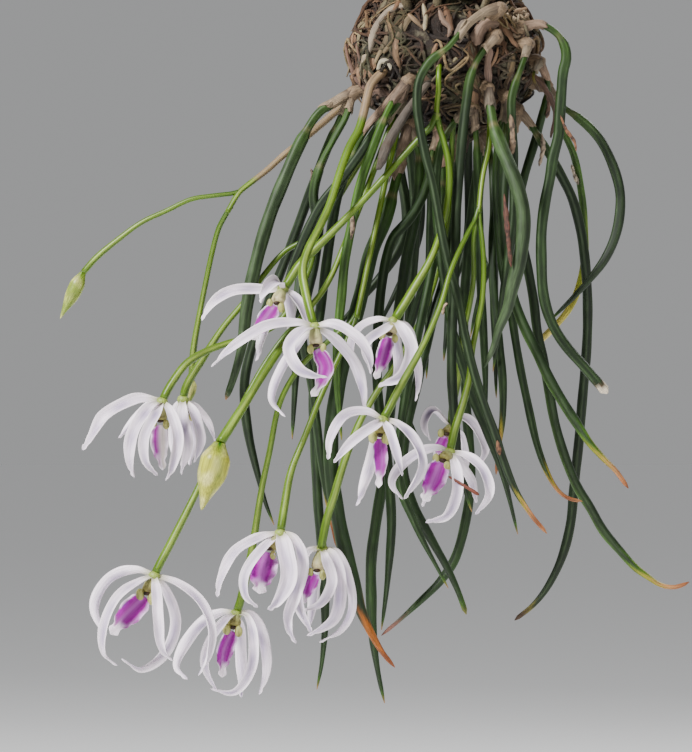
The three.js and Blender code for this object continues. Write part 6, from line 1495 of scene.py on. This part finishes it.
# Potting bark: coarse chips of fir bark on a settled fill, damp and dark. Damp bark is matt, and its
# layers show as thin light and dark streaks along each chip.
bark_finish, bark_tone, bark_grain = painted("fir_bark")
layer = streaks(bark_finish, bark_grain, (0.25, 1.0, 1.6), 6, 0.6)
coat(bark_finish, shaded(bark_finish, bark_tone, layer, 0.3, 0.7, 0.55, 1.4), 0.85, layer, 0.8, 0.6)

fill_top = MOUTH_RADIUS - 0.8 - GAP - 0.35
fill_profile = resample([[0.3, FLOOR_Z + GAP], [wall_radius(FLOOR_Z) - WALL - GAP - 0.2, FLOOR_Z + GAP],
    [fill_top - 1.5, BARK_Z], [0.3, BARK_Z + 0.8]], 60)
# its heights must rise from point to point, for the axis that the fill is turned about
fill_profile[:, 1] = np.maximum.accumulate(fill_profile[:, 1]) + np.arange(61) * 1e-4
fill = spun(fill_profile, 64)
near_top = smooth(BARK_Z - 4, BARK_Z, fill["rings"][..., 2])
fill["rings"][..., 2] += 0.6 * ripple(fill["rings"], 6, 12) * near_top
fill.update(tone=linear("#2e1f14"), grain=fill["rings"])
bark_skins = [fill]
chip_rng = np.random.default_rng(31)
for _ in range(90):
    length, broad, thick = chip_rng.uniform(4.5, 9), chip_rng.uniform(3.2, 5.5), chip_rng.uniform(1.4, 2.6)
    far = 28.5 * math.sqrt(chip_rng.uniform())
    heading = chip_rng.uniform(0, 2 * math.pi)
    s = np.linspace(-0.5, 0.5, 5)[:, None]
    a = circle(8)
    end = np.sqrt(np.clip(1 - (2 * np.abs(s)) ** 3, 0.3, 1))
    corner = (np.abs(np.cos(a)) ** 4 + np.abs(np.sin(a)) ** 4) ** -0.25
    outer = corner * end * (1 + 0.14 * chip_rng.uniform(-1, 1, (5, 8)))
    local = np.stack([s * length + 0 * a, broad / 2 * np.cos(a) * outer, thick / 2 * np.sin(a) * outer], -1)
    yaw, tilt, roll = chip_rng.uniform(0, 6.3), chip_rng.uniform(-0.45, 0.45), chip_rng.uniform(-0.45, 0.45)
    turned = np.array(mathutils.Euler((roll, tilt, yaw)).to_matrix())
    at = [far * math.cos(heading), far * math.sin(heading), BARK_Z + chip_rng.uniform(-0.4, 1.3)]
    shade = mixed(linear("#3a2518"), linear("#6f4f35"), chip_rng.uniform() ** 1.5)
    grain = local + chip_rng.uniform(0, 50, 3)
    bark_skins.append({"rings": local @ turned.T + at, "tone": shade, "grain": grain})
build("potting_bark_chips", bark_skins, [bark_finish], ["potting_bark"])

# Studio: a plain pale floor and wall-less pale surroundings, soft light from the upper left, and a
# long lens at the photograph's angle, level with the middle of the hanging leaves. In metres.
FLOOR_EDGE = 14.0
STUDIO_FLOOR_Z = -0.47
MIDDLE = (-0.02, 0.0, -0.25)
CAMERA_DISTANCE = 2.3
SUBJECT_DISTANCE = CAMERA_DISTANCE - 0.02
VIEW_WIDTH = 0.2076
scene = bpy.context.scene
floor_mesh = bpy.data.meshes.new("studio_floor")
corners = [(x * FLOOR_EDGE, y * FLOOR_EDGE, STUDIO_FLOOR_Z) for x, y in ((-1, -1), (1, -1), (1, 1), (-1, 1))]
floor_mesh.from_pydata(corners, [], [(0, 1, 2, 3)])
studio_floor = bpy.data.objects.new("studio_floor", floor_mesh)
scene.collection.objects.link(studio_floor)
floor_finish = new_material("pale_floor")
floor_surface = add_node(floor_finish, "BsdfPrincipled", {"Base Color": opaque("#ffffff"), "Roughness": 0.9})
add_node(floor_finish, "OutputMaterial", [floor_surface])
floor_mesh.materials.append(floor_finish)

world = bpy.data.worlds.new("studio")
world.use_nodes = True
surroundings = world.node_tree.nodes["Background"].inputs
surroundings["Color"].default_value = opaque("#e9eaeb")
surroundings["Strength"].default_value = 0.42
scene.world = world


def area_light(name, at, size, power):
    """A square white lamp that shines on the middle of the plant."""
    lamp = bpy.data.lights.new(name, "AREA")
    lamp.size = size
    lamp.energy = power
    holder = bpy.data.objects.new(name, lamp)
    way = np.subtract(MIDDLE, at)
    from_z = math.acos(-way[2] / np.linalg.norm(way))
    holder.rotation_euler = (from_z, 0, math.atan2(way[1], way[0]) - math.pi / 2)
    holder.location = at
    scene.collection.objects.link(holder)


area_light("key", (-0.85, -0.9, 0.75), 0.3, 66)
area_light("fill", (1.1, -0.9, -0.1), 0.7, 3)
area_light("rim", (0.7, 1.0, 0.6), 0.4, 15)

camera = bpy.data.cameras.new("photo_camera")
camera.sensor_fit = "HORIZONTAL"
camera.sensor_width = 36
camera.lens = camera.sensor_width * SUBJECT_DISTANCE / VIEW_WIDTH
camera.clip_end = 60
camera_holder = bpy.data.objects.new("photo_camera", camera)
camera_holder.location = (-0.0297, -CAMERA_DISTANCE, -0.2808)
camera_holder.rotation_euler = (math.pi / 2, 0, 0)
scene.collection.objects.link(camera_holder)
scene.camera = camera_holder
